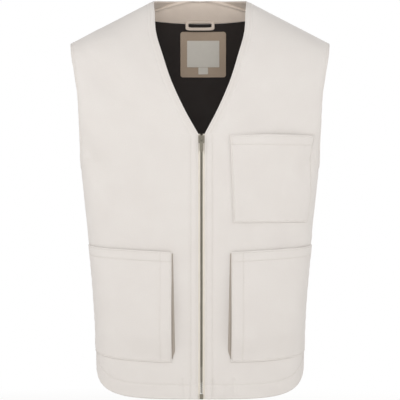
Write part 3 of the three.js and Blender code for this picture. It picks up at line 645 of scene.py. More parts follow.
def twill(name, *colours):
    material, tree, surface = new_material(name, Roughness=0.9, Sheen_Weight=0.18, Sheen_Roughness=0.45)
    surface.inputs["Specular IOR Level"].default_value = 0.25
    place = cloth_place(tree)
    cloud = add_node(tree, "ShaderNodeTexNoise", {"Vector": place, "Scale": 1 / 60, "Detail": 3.0})
    fibre = add_node(tree, "ShaderNodeTexNoise", {"Vector": place, "Scale": 1 / 1.6, "Detail": 2.0})
    turned = {"Vector": place, "Rotation": (0, 0, math.radians(RIB_SLANT))}
    slant = add_node(tree, "ShaderNodeMapping", turned).outputs[0]
    weave = {"Vector": slant, "Scale": WAVE_PERIOD / RIB_SPACING, "Distortion": 0.6, "Detail": 1.0}
    ribs = add_node(tree, "ShaderNodeTexWave", weave, bands_direction="X")
    both = {0: cloud.outputs["Fac"], 1: fibre.outputs["Fac"]}
    mixed = add_node(tree, "ShaderNodeMath", both, operation="MULTIPLY").outputs[0]
    stretch = {"Value": mixed, "From Min": 0.1, "From Max": 0.45}
    shade = add_node(tree, "ShaderNodeMapRange", stretch).outputs[0]
    fuzz = add_node(tree, "ShaderNodeMath", {0: fibre.outputs["Fac"], 1: 0.25}, operation="MULTIPLY")
    height = add_node(tree, "ShaderNodeMath", {0: ribs.outputs["Fac"], 1: fuzz.outputs[0]}, operation="ADD")
    rough = (0.84, 0.96)
    finish_surface(
        tree, surface, shade, colours, fibre.outputs["Fac"], rough, height.outputs[0], RIB_HEIGHT, 0.8
    )
    return material


shell_twill = twill("cotton_twill", "#dfdad5", "#dad4cf")
band_twill = twill("beige_cotton_twill", "#e2d4c7", "#d9cabc")
patch_twill = twill("taupe_twill", "#bdaa98", "#b19e8b")
# The gusset strip is the shell's twill painted darker, as painted shade inside the bellows fold.
painted_shade_gusset_twill = twill("inner_twill_painted_shade", "#b3a99f", "#a89e93")

# %% [markdown]
# ### Lining
# The back is lined with a dark brown taffeta. It is woven from smooth threads, so it is flatter than the
# twill and has a soft gloss.

# %% Lining material
THREAD_SPACING = 1.0


def taffeta(name, *colours):
    material, tree, surface = new_material(name, Roughness=0.7)
    place = cloth_place(tree)
    cloud = add_node(tree, "ShaderNodeTexNoise", {"Vector": place, "Scale": 1 / 40, "Detail": 3.0})
    threads = add_node(tree, "ShaderNodeTexBrick", {"Vector": place, "Scale": 1 / THREAD_SPACING})
    shade = cloud.outputs["Fac"]
    finish_surface(tree, surface, shade, colours, shade, (0.62, 0.8), threads.outputs["Fac"], 0.03)
    return material


lining_taffeta = taffeta("brown_taffeta", "#1f130d", "#150c08")

# %% [markdown]
# ### Woven labels, zip tape and thread
# Labels and tape are woven in ribs that run straight across. The thread is spun polyester a shade lighter
# than the twill, with a slight gloss.

# %% Ribbed weaves and thread
def ribbed(name, light, dark, spacing, rib_height, axis):
    material, tree, surface = new_material(name, Roughness=0.75, Sheen_Weight=0.15)
    place = cloth_place(tree)
    weave = {"Vector": place, "Scale": WAVE_PERIOD / spacing, "Distortion": 0.3}
    ribs = add_node(tree, "ShaderNodeTexWave", weave, bands_direction=axis).outputs["Fac"]
    noise = {"Vector": place, "Scale": 1 / 9, "Detail": 2.0}
    cloud = add_node(tree, "ShaderNodeTexNoise", noise).outputs["Fac"]
    both = add_node(tree, "ShaderNodeMath", {0: ribs, 1: cloud}, operation="MULTIPLY").outputs[0]
    finish_surface(tree, surface, both, (light, dark), cloud, (0.65, 0.85), ribs, rib_height)
    return material


label_weave = ribbed("woven_label_damask", "#e4dfd6", "#d9d4ca", 0.9, 0.06, "Y")
tape_weave = ribbed("zip_tape_herringbone", "#f1eadf", "#e4dccf", 1.1, 0.15, "Y")
sewing_thread = ribbed("polyester_thread", "#e2dcd6", "#d6cfc8", 0.8, 0.05, "X")

# %% [markdown]
# ### Zip metal
# The zip is stamped and plated to look like old nickel: a grey metal, worn brighter on its high edges,
# with a half-polished face. Metals keep the default IOR.

# %% Metal material
STAIN_SIZE = 3
SCRATCH_SIZE = 0.5


def aged_nickel(name, *colours):
    material, tree, surface = new_material(name, Metallic=1.0, Roughness=0.32)
    place = add_node(tree, "ShaderNodeTexCoord").outputs["Object"]
    marks = []
    for size, detail in ((STAIN_SIZE, 3.0), (SCRATCH_SIZE, 2.0)):
        noise = {"Vector": place, "Scale": 1 / (size * MM), "Detail": detail}
        marks.append(add_node(tree, "ShaderNodeTexNoise", noise).outputs["Fac"])
    stain, scratches = marks
    finish_surface(tree, surface, stain, colours, stain, (0.3, 0.5), scratches, 0.02)
    return material


zip_nickel = aged_nickel("aged_nickel_plating", "#868175", "#514d45")

# %% [markdown]
# ## Fronts and back
# The panels are laid out in even steps of cloth, a little closer near the edges, where the seams are. The
# hem is turned up, so the cloth is twice as thick there. The back is cut in one piece: its two halves
# share the centre line up to the neck, where they part.

# %% Grid places
PANEL_COLUMNS = 88
ROW_SPACING = 3.6
BLANK_SPACING = 2.2
SEAM_CLOSE = 0.8


def close_steps(places, end):
    """Distances from an edge: three close ones at each row of stitches, and wider ones between them."""
    stops = sorted({0.0, end, *(place + more for place in places for more in (-SEAM_CLOSE, 0, SEAM_CLOSE))})
    steps = [0.0]
    for low, high in zip(stops[:-1], stops[1:]):
        count = math.ceil((high - low) / BLANK_SPACING)
        steps += [mix(low, high, (k + 1) / count) for k in range(count)]
    return np.array(steps)


def even_rows(panel, start, end):
    fine = np.linspace(start, end, 600)
    run = run_length(panel.bare(0.5, fine))
    count = max(2, round(run[-1] / ROW_SPACING) + 1)
    return np.interp(np.linspace(0, run[-1], count), run, fine)


def row_curves(panel, columns):
    """The rows of the grid, each as its t in every column: the lowest follow the hem."""
    low_rows = np.linspace(0, 1, 160)
    s, t = np.meshgrid(columns, low_rows, indexing="ij")
    gap = edge_gap(panel, "hem", panel.bare(s, t))
    steps = close_steps(SEAM_ROWS["hem"], HEM_DEPTH + 4)
    hem = np.stack([np.interp(steps, column, low_rows) for column in gap])
    above_hem = mix(hem[:, -1:], 1, np.linspace(0, 1, 18)[1:])
    corner = panel.corner_row
    upper = np.concatenate((even_rows(panel, 1, corner)[1:], even_rows(panel, corner, panel.last)[1:]))
    return np.concatenate((hem, above_hem, np.broadcast_to(upper, (len(columns), len(upper)))), 1)


def panel_grid(panel):
    """The columns and rows of a panel's mesh, which lie closer together along its seams."""
    fine = np.linspace(0, 1, 420)
    rows = row_curves(panel, fine)
    points = panel.bare(fine[:, None], rows)
    run = run_length(points)
    inner_gap = edge_gap(panel, "inner", points) if panel.facing < 0 else run
    inner_steps = close_steps(SEAM_ROWS["inner"], PLACKET_STITCH + 4)
    outer_steps = np.linspace(ARMHOLE_STITCH + 5, 0, 12)
    middle = PANEL_COLUMNS - len(inner_steps) - len(outer_steps)
    s = np.empty((PANEL_COLUMNS, rows.shape[1]))
    for j in range(rows.shape[1]):
        near = np.interp(inner_steps, inner_gap[:, j], fine)
        far = np.interp(run[-1, j] - outer_steps, run[:, j], fine)
        start, end = np.interp((near[-1], far[0]), fine, run[:, j])
        even = np.interp(np.linspace(start, end, middle + 2)[1:-1], run[:, j], fine)
        s[:, j] = np.concatenate((near, even, far))
    t = np.stack([np.interp(s[:, j], fine, rows[:, j]) for j in range(rows.shape[1])], 1)
    print("grid of", s.shape[0], "by", s.shape[1])
    return s, t


def cloth_marks(panel, s, t):
    """The cloth's own grid in millimetres: the length across from the centre, and the height."""
    points = panel.bare(s, t)
    across = run_length(points)
    return np.stack((panel.side * across, points[..., 2], 0 * across), -1)


# %% Faces of a panel
HEM_FROM = 0.12


def panel_faces(panel, s, t):
    """The outer and the inner face of a panel, whose cloth is double in the hem."""
    gap = edge_gap(panel, "hem", panel.bare(s, t))
    turned_up = 1 - smooth_step(gap, HEM_DEPTH, HEM_DEPTH + 1)
    doubled = turned_up * smooth_step(s, HEM_FROM, HEM_FROM + 0.03)
    return cloth_point(panel, s, t), panel.at(s, t, -TWILL * (1 + doubled))


# %% Fronts
cloth = {}
for name, panel in (("front_left", front_left), ("front_right", front_right)):
    s, t = panel_grid(panel)
    part = grid_sheet(*panel_faces(panel, s, t), cloth_marks(panel, s, t))
    cloth[name] = make_cloth(name + "_twill", [part], shell_twill)


# %% [markdown]
# ### Back
# The back's two halves are laid out alike and then joined: up to the neck they have the same points along
# the centre line, and above it each goes its own way round the neck to its shoulder seam.

# %% Both halves of the back in one sheet
def back_sheet(s, t, shared, faces_of):
    """A sheet across both halves of the back, whose centre columns are one up to the given row."""
    left, right = faces_of(back_left, s, t), faces_of(back_right, s, t)
    index = np.arange(s.size).reshape(s.shape)
    other = index + s.size
    other[0, :shared] = index[0, :shared]
    both = [np.concatenate([half.reshape(-1, 3) for half in pair]) for pair in zip(left, right)]
    marks = [cloth_marks(panel, s, t).reshape(-1, 3) for panel in (back_left, back_right)]
    quads = grid_quads(*s.shape)
    quads = np.concatenate((quads, other.reshape(-1)[quads][:, ::-1]))
    used, quads = np.unique(quads, return_inverse=True)
    quads = quads.reshape(-1, 4)
    return cloth_sheet(both[0][used], both[1][used], np.concatenate(marks)[used], quads)


s, t = panel_grid(back_left)
shared_rows = int((t[0] <= back_left.corner_row).sum())
cloth["back"] = make_cloth("back_twill", [back_sheet(s, t, shared_rows, panel_faces)], shell_twill)

# %% [markdown]
# ## Inside of the back
# Through the V one looks at the inside of the back: a wide beige band follows the back neck, a dark lining
# hangs below it, and a taupe patch with a bare woven label is sewn on the lining under a short hanging
# loop. They are thin layers one behind the other, each a seam's gap further in than the last.

# %% Lining and neck band
BAND_WIDTH = 40
BAND_END_RISE = 8
BAND_CLOTH = 1.2
LINING_CLOTH = 1.0
LINING_BOTTOM = -BACK_LENGTH + HEM_DEPTH + 4
LINING_ROWS = 130
LINING_END = 0.985
LINING_TURN = 0.75
LINING_TOP_DROP = 0.015
LAYER_COLUMNS = 70
BAND_COLUMNS = 34
inside = -TWILL - SEAM_GAP
band_level = BACK_NECK_RISE - BAND_WIDTH
band_end = NECK_WIDTH / 2 + BAND_WIDTH


def band_edge(x):
    """Height of the band's lower edge, which rises a little towards the shoulder seams."""
    return band_level + BAND_END_RISE * (x / band_end) ** 2


def band_rows(s):
    """The rows between which each column lies above the band's lower edge."""
    t = np.linspace(back_left.corner_row - 3, back_left.last, 500)
    columns, rows = np.meshgrid(s, t, indexing="ij")
    point = back_left.bare(columns, rows)
    above = point[..., 2] - band_edge(point[..., 0])
    peak = above.argmax(1)
    low, high = np.empty(len(s)), np.empty(len(s))
    for i, top in enumerate(peak):
        low[i] = np.interp(0, above[i, :top + 1], t[:top + 1])
        high[i] = t[-1] if above[i, -1] >= 0 else np.interp(0, above[i, top:][::-1], t[top:][::-1])
    return low, high, above.max(1)


fine = np.linspace(0, 0.6, 600)
band_end_column = float(np.interp(0, -band_rows(fine)[2], fine))
print("the band ends at column", round(band_end_column, 3))


def lining_faces(panel, s, t):
    point = panel.bare(s, t)
    x, z = point[..., 0], point[..., 2]
    slack = 0.6 * ripple(x, z, 70, 4) + 0.4 * ripple(x, z, 24, 6)
    slack = -(1 + slack) * smooth_step(1 - s, 0, 0.08) * smooth_step(-z, 140, 200)
    return panel.at(s, t, inside + slack), panel.at(s, t, inside - LINING_CLOTH + slack)


def edge_dense(count, amount=0.55):
    """Shares from 0 to 1 that lie closer together near both ends."""
    share = np.linspace(0, 1, count)
    return share - amount * np.sin(2 * math.pi * share) / (2 * math.pi)


under_band = np.linspace(0, band_end_column, BAND_COLUMNS)
beside_band = np.linspace(band_end_column, LINING_END, LAYER_COLUMNS - BAND_COLUMNS + 1)[1:]
columns = np.concatenate((under_band, beside_band))
bottom = float(back_left.row_at(0, LINING_BOTTOM))
tops, _, _ = band_rows(columns)
rise = smooth_step(beside_band, band_end_column, LINING_TURN)
tops[BAND_COLUMNS:] = mix(tops[BAND_COLUMNS - 1], back_left.last, rise)
tops = tops - LINING_TOP_DROP
shares = np.linspace(0, 1, LINING_ROWS)
s = np.repeat(columns[:, None], len(shares), 1)
t = mix(bottom, tops[:, None], shares[None])
lining = back_sheet(s, t, len(shares), lining_faces)
cloth["back_lining"] = make_cloth("back_lining_taffeta", [lining], lining_taffeta)


# %% Neck band
def band_faces(panel, s, t):
    point = panel.bare(s, t)
    low_edge = point[..., 2] - band_edge(point[..., 0])
    stitched = 0.3 * bell((low_edge - EDGE_STITCH) / 1.2)
    relief = 0.25 * ripple(point[..., 0], point[..., 2], 22, 8) - stitched
    return panel.at(s, t, inside), panel.at(s, t, inside - BAND_CLOTH - relief)


BELOW_CORNER = 12
columns = np.linspace(0, band_end_column * 0.99, 60)
lows, highs, _ = band_rows(columns)
corner = (back_left.corner_row - lows[0]) / (back_left.last - lows[0])
shares = np.concatenate((np.linspace(0, corner, BELOW_CORNER), np.linspace(corner, 1, 30)[1:]))
t = mix(lows[:, None], highs[:, None], shares[None])
t[0, BELOW_CORNER - 1] = back_left.corner_row
s = np.repeat(columns[:, None], t.shape[1], 1)
cloth["neck_facing"] = make_cloth("neck_band", [back_sheet(s, t, BELOW_CORNER, band_faces)], band_twill)

# %% [markdown]
# ### Label patch, woven label and size tab
# These are small flat pieces with rounded corners. A square grid is pulled in at its corners, and each of
# its points is then placed on the inside of the back. The labels are left without any lettering.

# %% Patches on the lining
PATCH_CLOTH = 1.0
LABEL_CLOTH = 0.6


def rounded_grid(centre_x, top_z, width, height, radius, count_u, count_v):
    """A grid of x and z over a rectangle with round corners."""
    u, v = np.meshgrid(edge_dense(count_u) * 2 - 1, edge_dense(count_v) * 2 - 1, indexing="ij")
    x, z = u * width / 2, v * height / 2
    over_x = np.maximum(np.abs(x) - width / 2 + radius, 0) / radius
    over_z = np.maximum(np.abs(z) - height / 2 + radius, 0) / radius
    reach = np.maximum(np.hypot(over_x, over_z), 1e-9)
    pull = np.where((over_x > 0) & (over_z > 0), np.maximum(over_x, over_z) / reach, 1)
    x = x - np.sign(x) * over_x * radius * (1 - pull)
    z = z - np.sign(z) * over_z * radius * (1 - pull)
    return x + centre_x, z + top_z - height / 2


def inside_back(x, z, out):
    """Points on the inside of the back, out millimetres from the outer face of its twill."""
    s, t = back_left.spot(np.abs(x), z)
    point = back_left.at(s, t, out)
    point[..., 0] *= np.where(x < 0, -1, 1)
    return point


def patch_sheet(x, z, depth, thickness, relief):
    back_face = inside_back(x, z, depth)
    front_face = inside_back(x, z, depth - thickness - relief)
    marks = np.stack((x, z, 0 * x), -1)
    return grid_sheet(back_face, front_face, marks)


def box_mm(node):
    """The low and the high corner of a solid's box, in millimetres."""
    return [[v / MM for v in corner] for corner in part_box(node)]


def flat_piece(node, name, radius, depth, thickness, material, counts, stitch_inset):
    """A rounded piece of cloth that covers a solid's place on the lining."""
    (low_x, _, low_z), (high_x, _, high_z) = box_mm(node)
    width, height, centre = high_x - low_x, high_z - low_z, (low_x + high_x) / 2
    x, z = rounded_grid(centre, high_z, width, height, radius, *counts)
    from_edge = np.minimum(width / 2 - np.abs(x - centre), height / 2 - np.abs(z - high_z + height / 2))
    relief = -0.3 * bell((from_edge - stitch_inset) / 1.1) + 0.3 * ripple(x, z, 26, 3)
    return make_cloth(name, [patch_sheet(x, z, depth, thickness, relief)], material)


patch_depth = inside - LINING_CLOTH - SEAM_GAP
label_depth = patch_depth - PATCH_CLOTH - SEAM_GAP
FLAT_PIECES = {
    # name, corner radius, depth, cloth, material, points across and up, and place of the stitches
    "label_patch": ("label_patch_twill", 5, patch_depth, PATCH_CLOTH, patch_twill, (54, 54), 2.5),
    "woven_label": ("woven_label_bare", 1, label_depth, LABEL_CLOTH, label_weave, (44, 36), 1.5),
    "size_tab": ("size_tab_bare", 1, label_depth, LABEL_CLOTH, label_weave, (20, 16), 9),
}
for node, settings in FLAT_PIECES.items():
    cloth[node] = flat_piece(node, *settings)

# %% [markdown]
# ### Hanging loop
# A folded tape of the band's own cloth is sewn on the band at both ends, so that the vest can hang on a
# hook. It is a flat ring here, with a low ridge where the tape is folded.

# %% Hanging loop
LOOP_STRAP = 5.5
LOOP_TOP = 4
LOOP_CROWN = 0.25
RING_POWER = 6
LOOP_COLUMNS = 9
LOOP_STEPS = 120


def rounded_ring(width, height, count):
    """Points once round a rectangle with round corners, evenly in its angle."""
    angle = np.linspace(0, 2 * math.pi, count, endpoint=False)
    cos, sin = np.cos(angle), np.sin(angle)
    reach = (np.abs(cos) ** RING_POWER + np.abs(sin) ** RING_POWER) ** (-1 / RING_POWER)
    return np.stack((width / 2 * cos * reach, height / 2 * sin * reach), -1)


def loop_sheet():
    low, high = box_mm("hanger_loop")
    width, height = high[0] - low[0], high[2] - low[2]
    outer = rounded_ring(width, height, LOOP_STEPS)
    hole = rounded_ring(width - 2 * LOOP_STRAP, height - LOOP_STRAP - LOOP_TOP, LOOP_STEPS)
    hole = hole + (0, (LOOP_STRAP - LOOP_TOP) / 2)
    share = np.linspace(0, 1, LOOP_COLUMNS)[:, None, None]
    flat = mix(outer[None], hole[None], share) + ((low[0] + high[0]) / 2, (low[2] + high[2]) / 2)
    flat = np.concatenate((flat, flat[:, :1]), 1)
    x, z = flat[..., 0], flat[..., 1]
    crown = LOOP_CROWN * np.cos((share[..., 0] - 0.5) * math.pi) + 0 * x
    front = np.stack((x, low[1] - crown + LOOP_CROWN, z), -1)
    behind = np.stack((x, np.full_like(x, high[1]), z), -1)
    quads = grid_quads(*x.shape)
    ring = np.arange(x.size).reshape(x.shape)
    ring[:, -1] = ring[:, 0]
    used, quads = np.unique(ring.reshape(-1)[quads], return_inverse=True)
    marks = np.stack((x, z, 0 * x), -1)
    kept = [grid.reshape(-1, 3)[used] for grid in (front, behind, marks)]
    return cloth_sheet(*kept, quads.reshape(-1, 4))


cloth["hanger_loop"] = make_cloth("hanging_loop_tape", [loop_sheet()], band_twill)

# %% [markdown]
# ## Pockets
# The chest pocket is a plain patch, sewn down on three sides, whose mouth gapes a little. The two lower
# pockets are bellows: their inner side stands off the front on a narrow folded strip, which shows as a
# dark gap, partly the fold's shade and partly painted shade in the strip's darker twill, and their outer
# side is sewn down near the side seam. All have a turned hem along the mouth.

# %% Pocket surfaces
POCKET_CLOTH = 1.4
POCKET_SEAT = 0.6
POCKET_HEM = 17


class Pocket:
    """A pocket on a front: a runs from its inner to its outer edge and b from its bottom to its mouth."""

    def __init__(self, panel, from_centre, width, height, top_drop, lean, rises, room, shape):
        self.panel = panel
        self.width = width
        self.height = height
        self.top_rise, self.bottom_rise = rises
        self.room = room
        self.shape = shape
        self.mouth = -top_drop
        self.bottom = self.mouth - height
        self.shares = np.linspace(0, 1, 25)
        rows = panel.row_at(0 * self.shares, mix(self.bottom, self.mouth, self.shares))
        leans = lean * (1 - self.shares)
        start = from_centre - CLOSURE_HALF_GAP
        self.inner = np.array([panel.walk(0, row, start + more) for row, more in zip(rows, leans)])
        ends = zip(self.inner, rows, leans)
        self.outer = np.array([panel.walk(s, row, width - less) for s, row, less in ends])

    def place(self, a, b):
        s = mix(np.interp(b, self.shares, self.inner), np.interp(b, self.shares, self.outer), a)
        low = self.bottom + self.bottom_rise * a * a
        return s, self.panel.row_at(s, mix(low, self.mouth + self.top_rise * a, b))

    def stand(self, a, b):
        return POCKET_SEAT + self.room * self.shape(a, b)


def chest_shape(a, b):
    """The mouth gapes most at its middle."""
    upwards = 0.25 + 0.75 * smooth_step(b, 0.45, 1)
    return np.sin(math.pi * np.clip(a, 0, 1)) ** 2 * upwards * smooth_step(b, 0, 0.2)


def bellows_shape(a, b):
    """The pockets hang, so that they are fullest near their bottom and close up towards the mouth."""
    upwards = smooth_step(b, 0, 0.26) * (1 - 0.7 * smooth_step(b, 0.4, 1))
    outwards = (1 - smooth_step(a, 0.45, 1)) * (0.8 + 0.2 * np.sin(math.pi * a))
    return upwards * outwards


chest_pocket = Pocket(front_left, 49, 158, 152, 245, 6, (0, 0), 7, chest_shape)
lower_pockets = {
    side: Pocket(panel, 51, 183, 190, 447, 0, (10, 12), 8, bellows_shape)
    for side, panel in (("left", front_left), ("right", front_right))
}
for pocket in (chest_pocket, *lower_pockets.values()):
    print("pocket of", pocket.width, "by", pocket.height, "that stands off up to", pocket.room)

# %% [markdown]
# Each pocket has its rows of stitches, given by the edge that they follow and their distance from it. The
# relief sinks along them, and the stitches themselves are laid in the same places later on.

# %% Pocket seams and meshes
CHEST_SEAMS = (("inner", 2), ("outer", 2), ("bottom", 2), ("mouth", 3), ("mouth", POCKET_HEM))
LOWER_SEAMS = (("inner", 2), ("inner", 17), *CHEST_SEAMS[1:])
pockets = {"chest_pocket": (chest_pocket, CHEST_SEAMS)}
for side, pocket in lower_pockets.items():
    pockets["lower_pocket_" + side] = (pocket, LOWER_SEAMS)


def pocket_gap(pocket, edge, a, b):
    gaps = {
        "inner": a * pocket.width,
        "outer": (1 - a) * pocket.width,
        "bottom": b * pocket.height,
        "mouth": (1 - b) * pocket.height,
    }
    return gaps[edge]


def pocket_relief(pocket, seams, a, b):
    u, v = a * pocket.width, b * pocket.height
    seed = pocket.panel.side + pocket.height
    height = 0.3 * ripple(u, v, 90, seed) + 0.14 * ripple(u, v, 27, seed + 2)
    along = u + v
    for edge, place in seams:
        gap = pocket_gap(pocket, edge, a, b)
        height = height + 0.8 * groove(gap, place)
    nearest = np.minimum(np.minimum(u, pocket.width - u), v)
    return height + 0.22 * np.sin(along / 3.1 + 1.4 * np.sin(along / 13)) * bell(nearest / 9)


def pocket_point(pocket, seams, a, b, out=0.0):
    a, b = np.broadcast_arrays(np.asarray(a, float), np.asarray(b, float))
    s, t = pocket.place(a, b)
    hem_start = pocket.height - POCKET_HEM
    hem = POCKET_CLOTH * smooth_step(b * pocket.height, hem_start - 1, hem_start)
    height = pocket.stand(a, b) + POCKET_CLOTH + 0.35 * hem + pocket_relief(pocket, seams, a, b) + out
    return pocket.panel.at(s, t, height)


POCKET_SPACING = 3.2


def seam_shares(length, low_places, high_places):
    """Shares from 0 to 1 of a length, with close steps along the rows of stitches at both of its ends."""
    low = close_steps(low_places, max(low_places) + 4)
    high = length - close_steps(high_places, max(high_places) + 4)[::-1]
    middle = np.linspace(low[-1], high[0], round((high[0] - low[-1]) / POCKET_SPACING) + 1)
    return np.concatenate((low, middle[1:-1], high)) / length


def pocket_sheet(pocket, seams):
    rows = {edge: [place for name, place in seams if name == edge] for edge, _ in seams}
    columns = seam_shares(pocket.width, rows["inner"], rows["outer"])
    heights = seam_shares(pocket.height, rows["bottom"], rows["mouth"])
    a, b = np.meshgrid(columns, heights, indexing="ij")
    s, t = pocket.place(a, b)
    outer = pocket_point(pocket, seams, a, b)
    inner = pocket.panel.at(s, t, pocket.stand(a, b))
    marks = np.stack((pocket.panel.side * a * pocket.width + 40, b * pocket.height, 0 * a), -1)
    return grid_sheet(outer, inner, marks)


for node, (pocket, seams) in pockets.items():
    cloth[node] = make_cloth(node + "_twill", [pocket_sheet(pocket, seams)], shell_twill)

# %% [markdown]
# ### Gussets
# A bellows pocket gets its room from a folded strip along its inner edge. From the front one looks into
# the fold, so it shows as a thin dark line beside the pocket: the fold's shade, with painted shade in the
# strip's twill, which is the shell's cloth painted darker. The strip dips under the pocket and comes back
# to its edge. It is sewn to the front a little beyond the pocket, more so further down.

# %% Gussets of the lower pockets
GUSSET_SEAM = 1.5
GUSSET_LEAN = 3.8
GUSSET_CLOTH = 1.2
GUSSET_FOLD = 10


def gusset_sheet(pocket):
    """The strip that joins a bellows pocket's inner edge to the front, folded inwards along its middle."""
    b, height = np.meshgrid(np.linspace(0.03, 0.985, 70), np.linspace(0, 1, 16), indexing="ij")
    base = -GUSSET_SEAM - GUSSET_LEAN * (1 - b) * smooth_step(b, 0.03, 0.12)
    fold = GUSSET_FOLD * np.sin(math.pi * height) * smooth_step(b, 0.03, 0.12)
    out = mix(0.1, pocket.stand(GUSSET_SEAM / pocket.width, b) - 0.1, height)
    faces = []
    for shift in (0, GUSSET_CLOTH):
        a = (mix(base, GUSSET_SEAM, height) + fold + shift) / pocket.width
        s, t = pocket.place(a, b)
        faces.append(pocket.panel.at(s, t, out))
    marks = np.stack((height * 20, b * pocket.height, 0 * b), -1)
    return grid_sheet(faces[0], faces[1], marks)


for side, pocket in lower_pockets.items():
    node = "lower_gusset_" + side
    cloth[node] = make_cloth(node + "_twill", [gusset_sheet(pocket)], painted_shade_gusset_twill)

# %% [markdown]
# ## Stitches
# Each stitch is a short piece of thread that comes up out of the cloth and goes down again, here 2.5 mm
# long with 0.7 mm between two. A stitch is a thin closed body with three rings of five points. All the
# stitches of a piece are one joined mesh.

# %% Stitch meshes
STITCH_LENGTH = 2.5
STITCH_STEP = 3.2
THREAD_RADIUS = 0.3
THREAD_SUNK = 0.35
THREAD_SIDES = 5


def read_line(places, run, values):
    """The three numbers of each point, read at places along a line."""
    return np.stack([np.interp(places, run, values[:, k]) for k in range(3)], -1)


def stitch_rows(name, rows):
    """Stitches along rows, each given as its points on the cloth and the outward directions there."""
    starts, ends, outs = [], [], []
    for points, normals in rows:
        run = run_length(points)
        begin = np.arange(1, run[-1] - STITCH_LENGTH, STITCH_STEP)
        starts.append(read_line(begin, run, points))
        ends.append(read_line(begin + STITCH_LENGTH, run, points))
        outs.append(unit(read_line(begin, run, normals)))
    start, end, out = (np.concatenate(x) for x in (starts, ends, outs))
    along = unit(end - start)
    side = unit(np.cross(along, out))
    points = [start - out * THREAD_SUNK]
    for share, lift, radius in ((0.12, 0.05, 0.8), (0.5, 0.25, 1.0), (0.88, 0.05, 0.8)):
        centre = mix(start, end, share) + out * lift
        for k in range(THREAD_SIDES):
            angle = 2 * math.pi * k / THREAD_SIDES
            points.append(centre + (side * math.cos(angle) + out * math.sin(angle)) * THREAD_RADIUS * radius)
    points.append(end - out * THREAD_SUNK)
    points = np.stack(points, 1)
    count = points.shape[1]
    last = 1 + 2 * THREAD_SIDES
    pattern = []
    for k in range(THREAD_SIDES):
        following = (k + 1) % THREAD_SIDES
        pattern.append((0, 1 + following, 1 + k))
        for ring in (1, 1 + THREAD_SIDES):
            above = ring + THREAD_SIDES
            pattern.append((ring + k, ring + following, above + following, above + k))
        pattern.append((last + k, last + following, count - 1))
    faces = [tuple(i + count * n for i in face) for n in range(len(points)) for face in pattern]
    marks = points.reshape(-1, 3)
    made = new_object(name, marks, faces, marks, sewing_thread)
    print(name, "has", len(points), "stitches")
    return made


# %% Rows along the edges of the panels
INSET_REACH = {"inner": 0.3, "armhole": 0.3, "side": 0.2, "hem": 0.6, "shoulder": 3.5}


def inset_row(panel, edge, gap, start=0.0, end=1.0):
    """Columns and rows of a line that runs inside an edge at a distance from it."""
    along = np.linspace(start, end, 260)
    depth = np.linspace(0, INSET_REACH[edge], 70)
    deep, run = np.meshgrid(depth, along, indexing="ij")
    places = {
        "inner": (deep, run * panel.last),
        "armhole": (1 - deep, mix(UNDERARM_ROW, panel.last, run)),
        "side": (1 - deep, run * UNDERARM_ROW),
        "hem": (run, deep),
        "shoulder": (run, panel.last - deep),
    }
    s, t = places[edge]
    gaps = edge_gap(panel, edge, panel.bare(s, t))
    found = np.array([np.interp(gap, gaps[:, j], depth) for j in range(len(along))])
    share = found / INSET_REACH[edge] * (len(depth) - 1)
    low = np.clip(share.astype(int), 0, len(depth) - 2)
    j = np.arange(len(along))
    return tuple(mix(g[low, j], g[low + 1, j], share - low) for g in (s, t))


def panel_row(panel, edge, gap, start=0.0, end=1.0):
    s, t = inset_row(panel, edge, gap, start, end)
    return cloth_point(panel, s, t, 0.1), panel.normal(s, t)


corner_share = front_left.corner_row / front_left.last
stitches = {}
for name, panel in (("front_left", front_left), ("front_right", front_right)):
    rows = [
        panel_row(panel, "inner", EDGE_STITCH, 0.004, 0.998),
        panel_row(panel, "inner", PLACKET_STITCH, 0.004, corner_share),
        panel_row(panel, "inner", ARMHOLE_STITCH, corner_share, 0.99),
        panel_row(panel, "armhole", EDGE_STITCH, 0.01, 0.99),
        panel_row(panel, "armhole", ARMHOLE_STITCH, 0.03, 0.98),
        panel_row(panel, "hem", HEM_DEPTH, 0.05, 0.99),
    ]
    stitches[name] = stitch_rows(name + "_stitches", rows)

back_corner = back_left.corner_row / back_left.last
rows = []
for panel in (back_left, back_right):
    rows += [
        panel_row(panel, "inner", EDGE_STITCH, back_corner, 0.998),
        panel_row(panel, "armhole", EDGE_STITCH, 0.01, 0.99),
        panel_row(panel, "armhole", ARMHOLE_STITCH, 0.03, 0.98),
        panel_row(panel, "hem", HEM_DEPTH, 0.0, 0.99),
        panel_row(panel, "shoulder", EDGE_STITCH, 0.02, 0.98),
    ]
stitches["back"] = stitch_rows("back_stitches", rows)


# %% Rows on the pockets
def pocket_row(pocket, seams, edge, gap):
    share = np.linspace(0.01, 0.985, 140)
    a = gap / pocket.width
    b = gap / pocket.height
    places = {
        "inner": (0 * share + a, share),
        "outer": (0 * share + 1 - a, share),
        "bottom": (share, 0 * share + b),
        "mouth": (share, 0 * share + 1 - b),
    }
    a, b = places[edge]
    points = pocket_point(pocket, seams, a, b, 0.1)
    return points, unit(pocket_point(pocket, seams, a, b, 1.1) - points)


for node, (pocket, seams) in pockets.items():
    rows = [pocket_row(pocket, seams, edge, gap) for edge, gap in seams]
    stitches[node] = stitch_rows(node + "_stitches", rows)

# %% [markdown]
# ## Zip
# The two woven tapes lie behind the front edges, and each carries a row of metal teeth clamped on its
# edge. The teeth of one side stand half a pitch higher, so that they hook into the other side's.

# %% Zip tapes
TAPE_UNDER = 1.6


def tape_sheet(name, side):
    low, high = box_mm(name)
    share, z = np.meshgrid(edge_dense(14, 0.3), np.linspace(low[2], high[2], 230), indexing="ij")
    start, end = (low[0] - TAPE_UNDER, high[0]) if side > 0 else (high[0] + TAPE_UNDER, low[0])
    x = mix(start, end, share)
    bead = 0.35 * bell(share * (high[0] - low[0]) / 1.2)
    wave = 0.12 * np.sin(z / 9 + side) * (1 - share)
    front = np.stack((x, low[1] - bead + wave, z), -1)
    behind = np.stack((x, high[1] + wave, z), -1)
    return grid_sheet(front, behind, np.stack((x, z, 0 * x), -1))


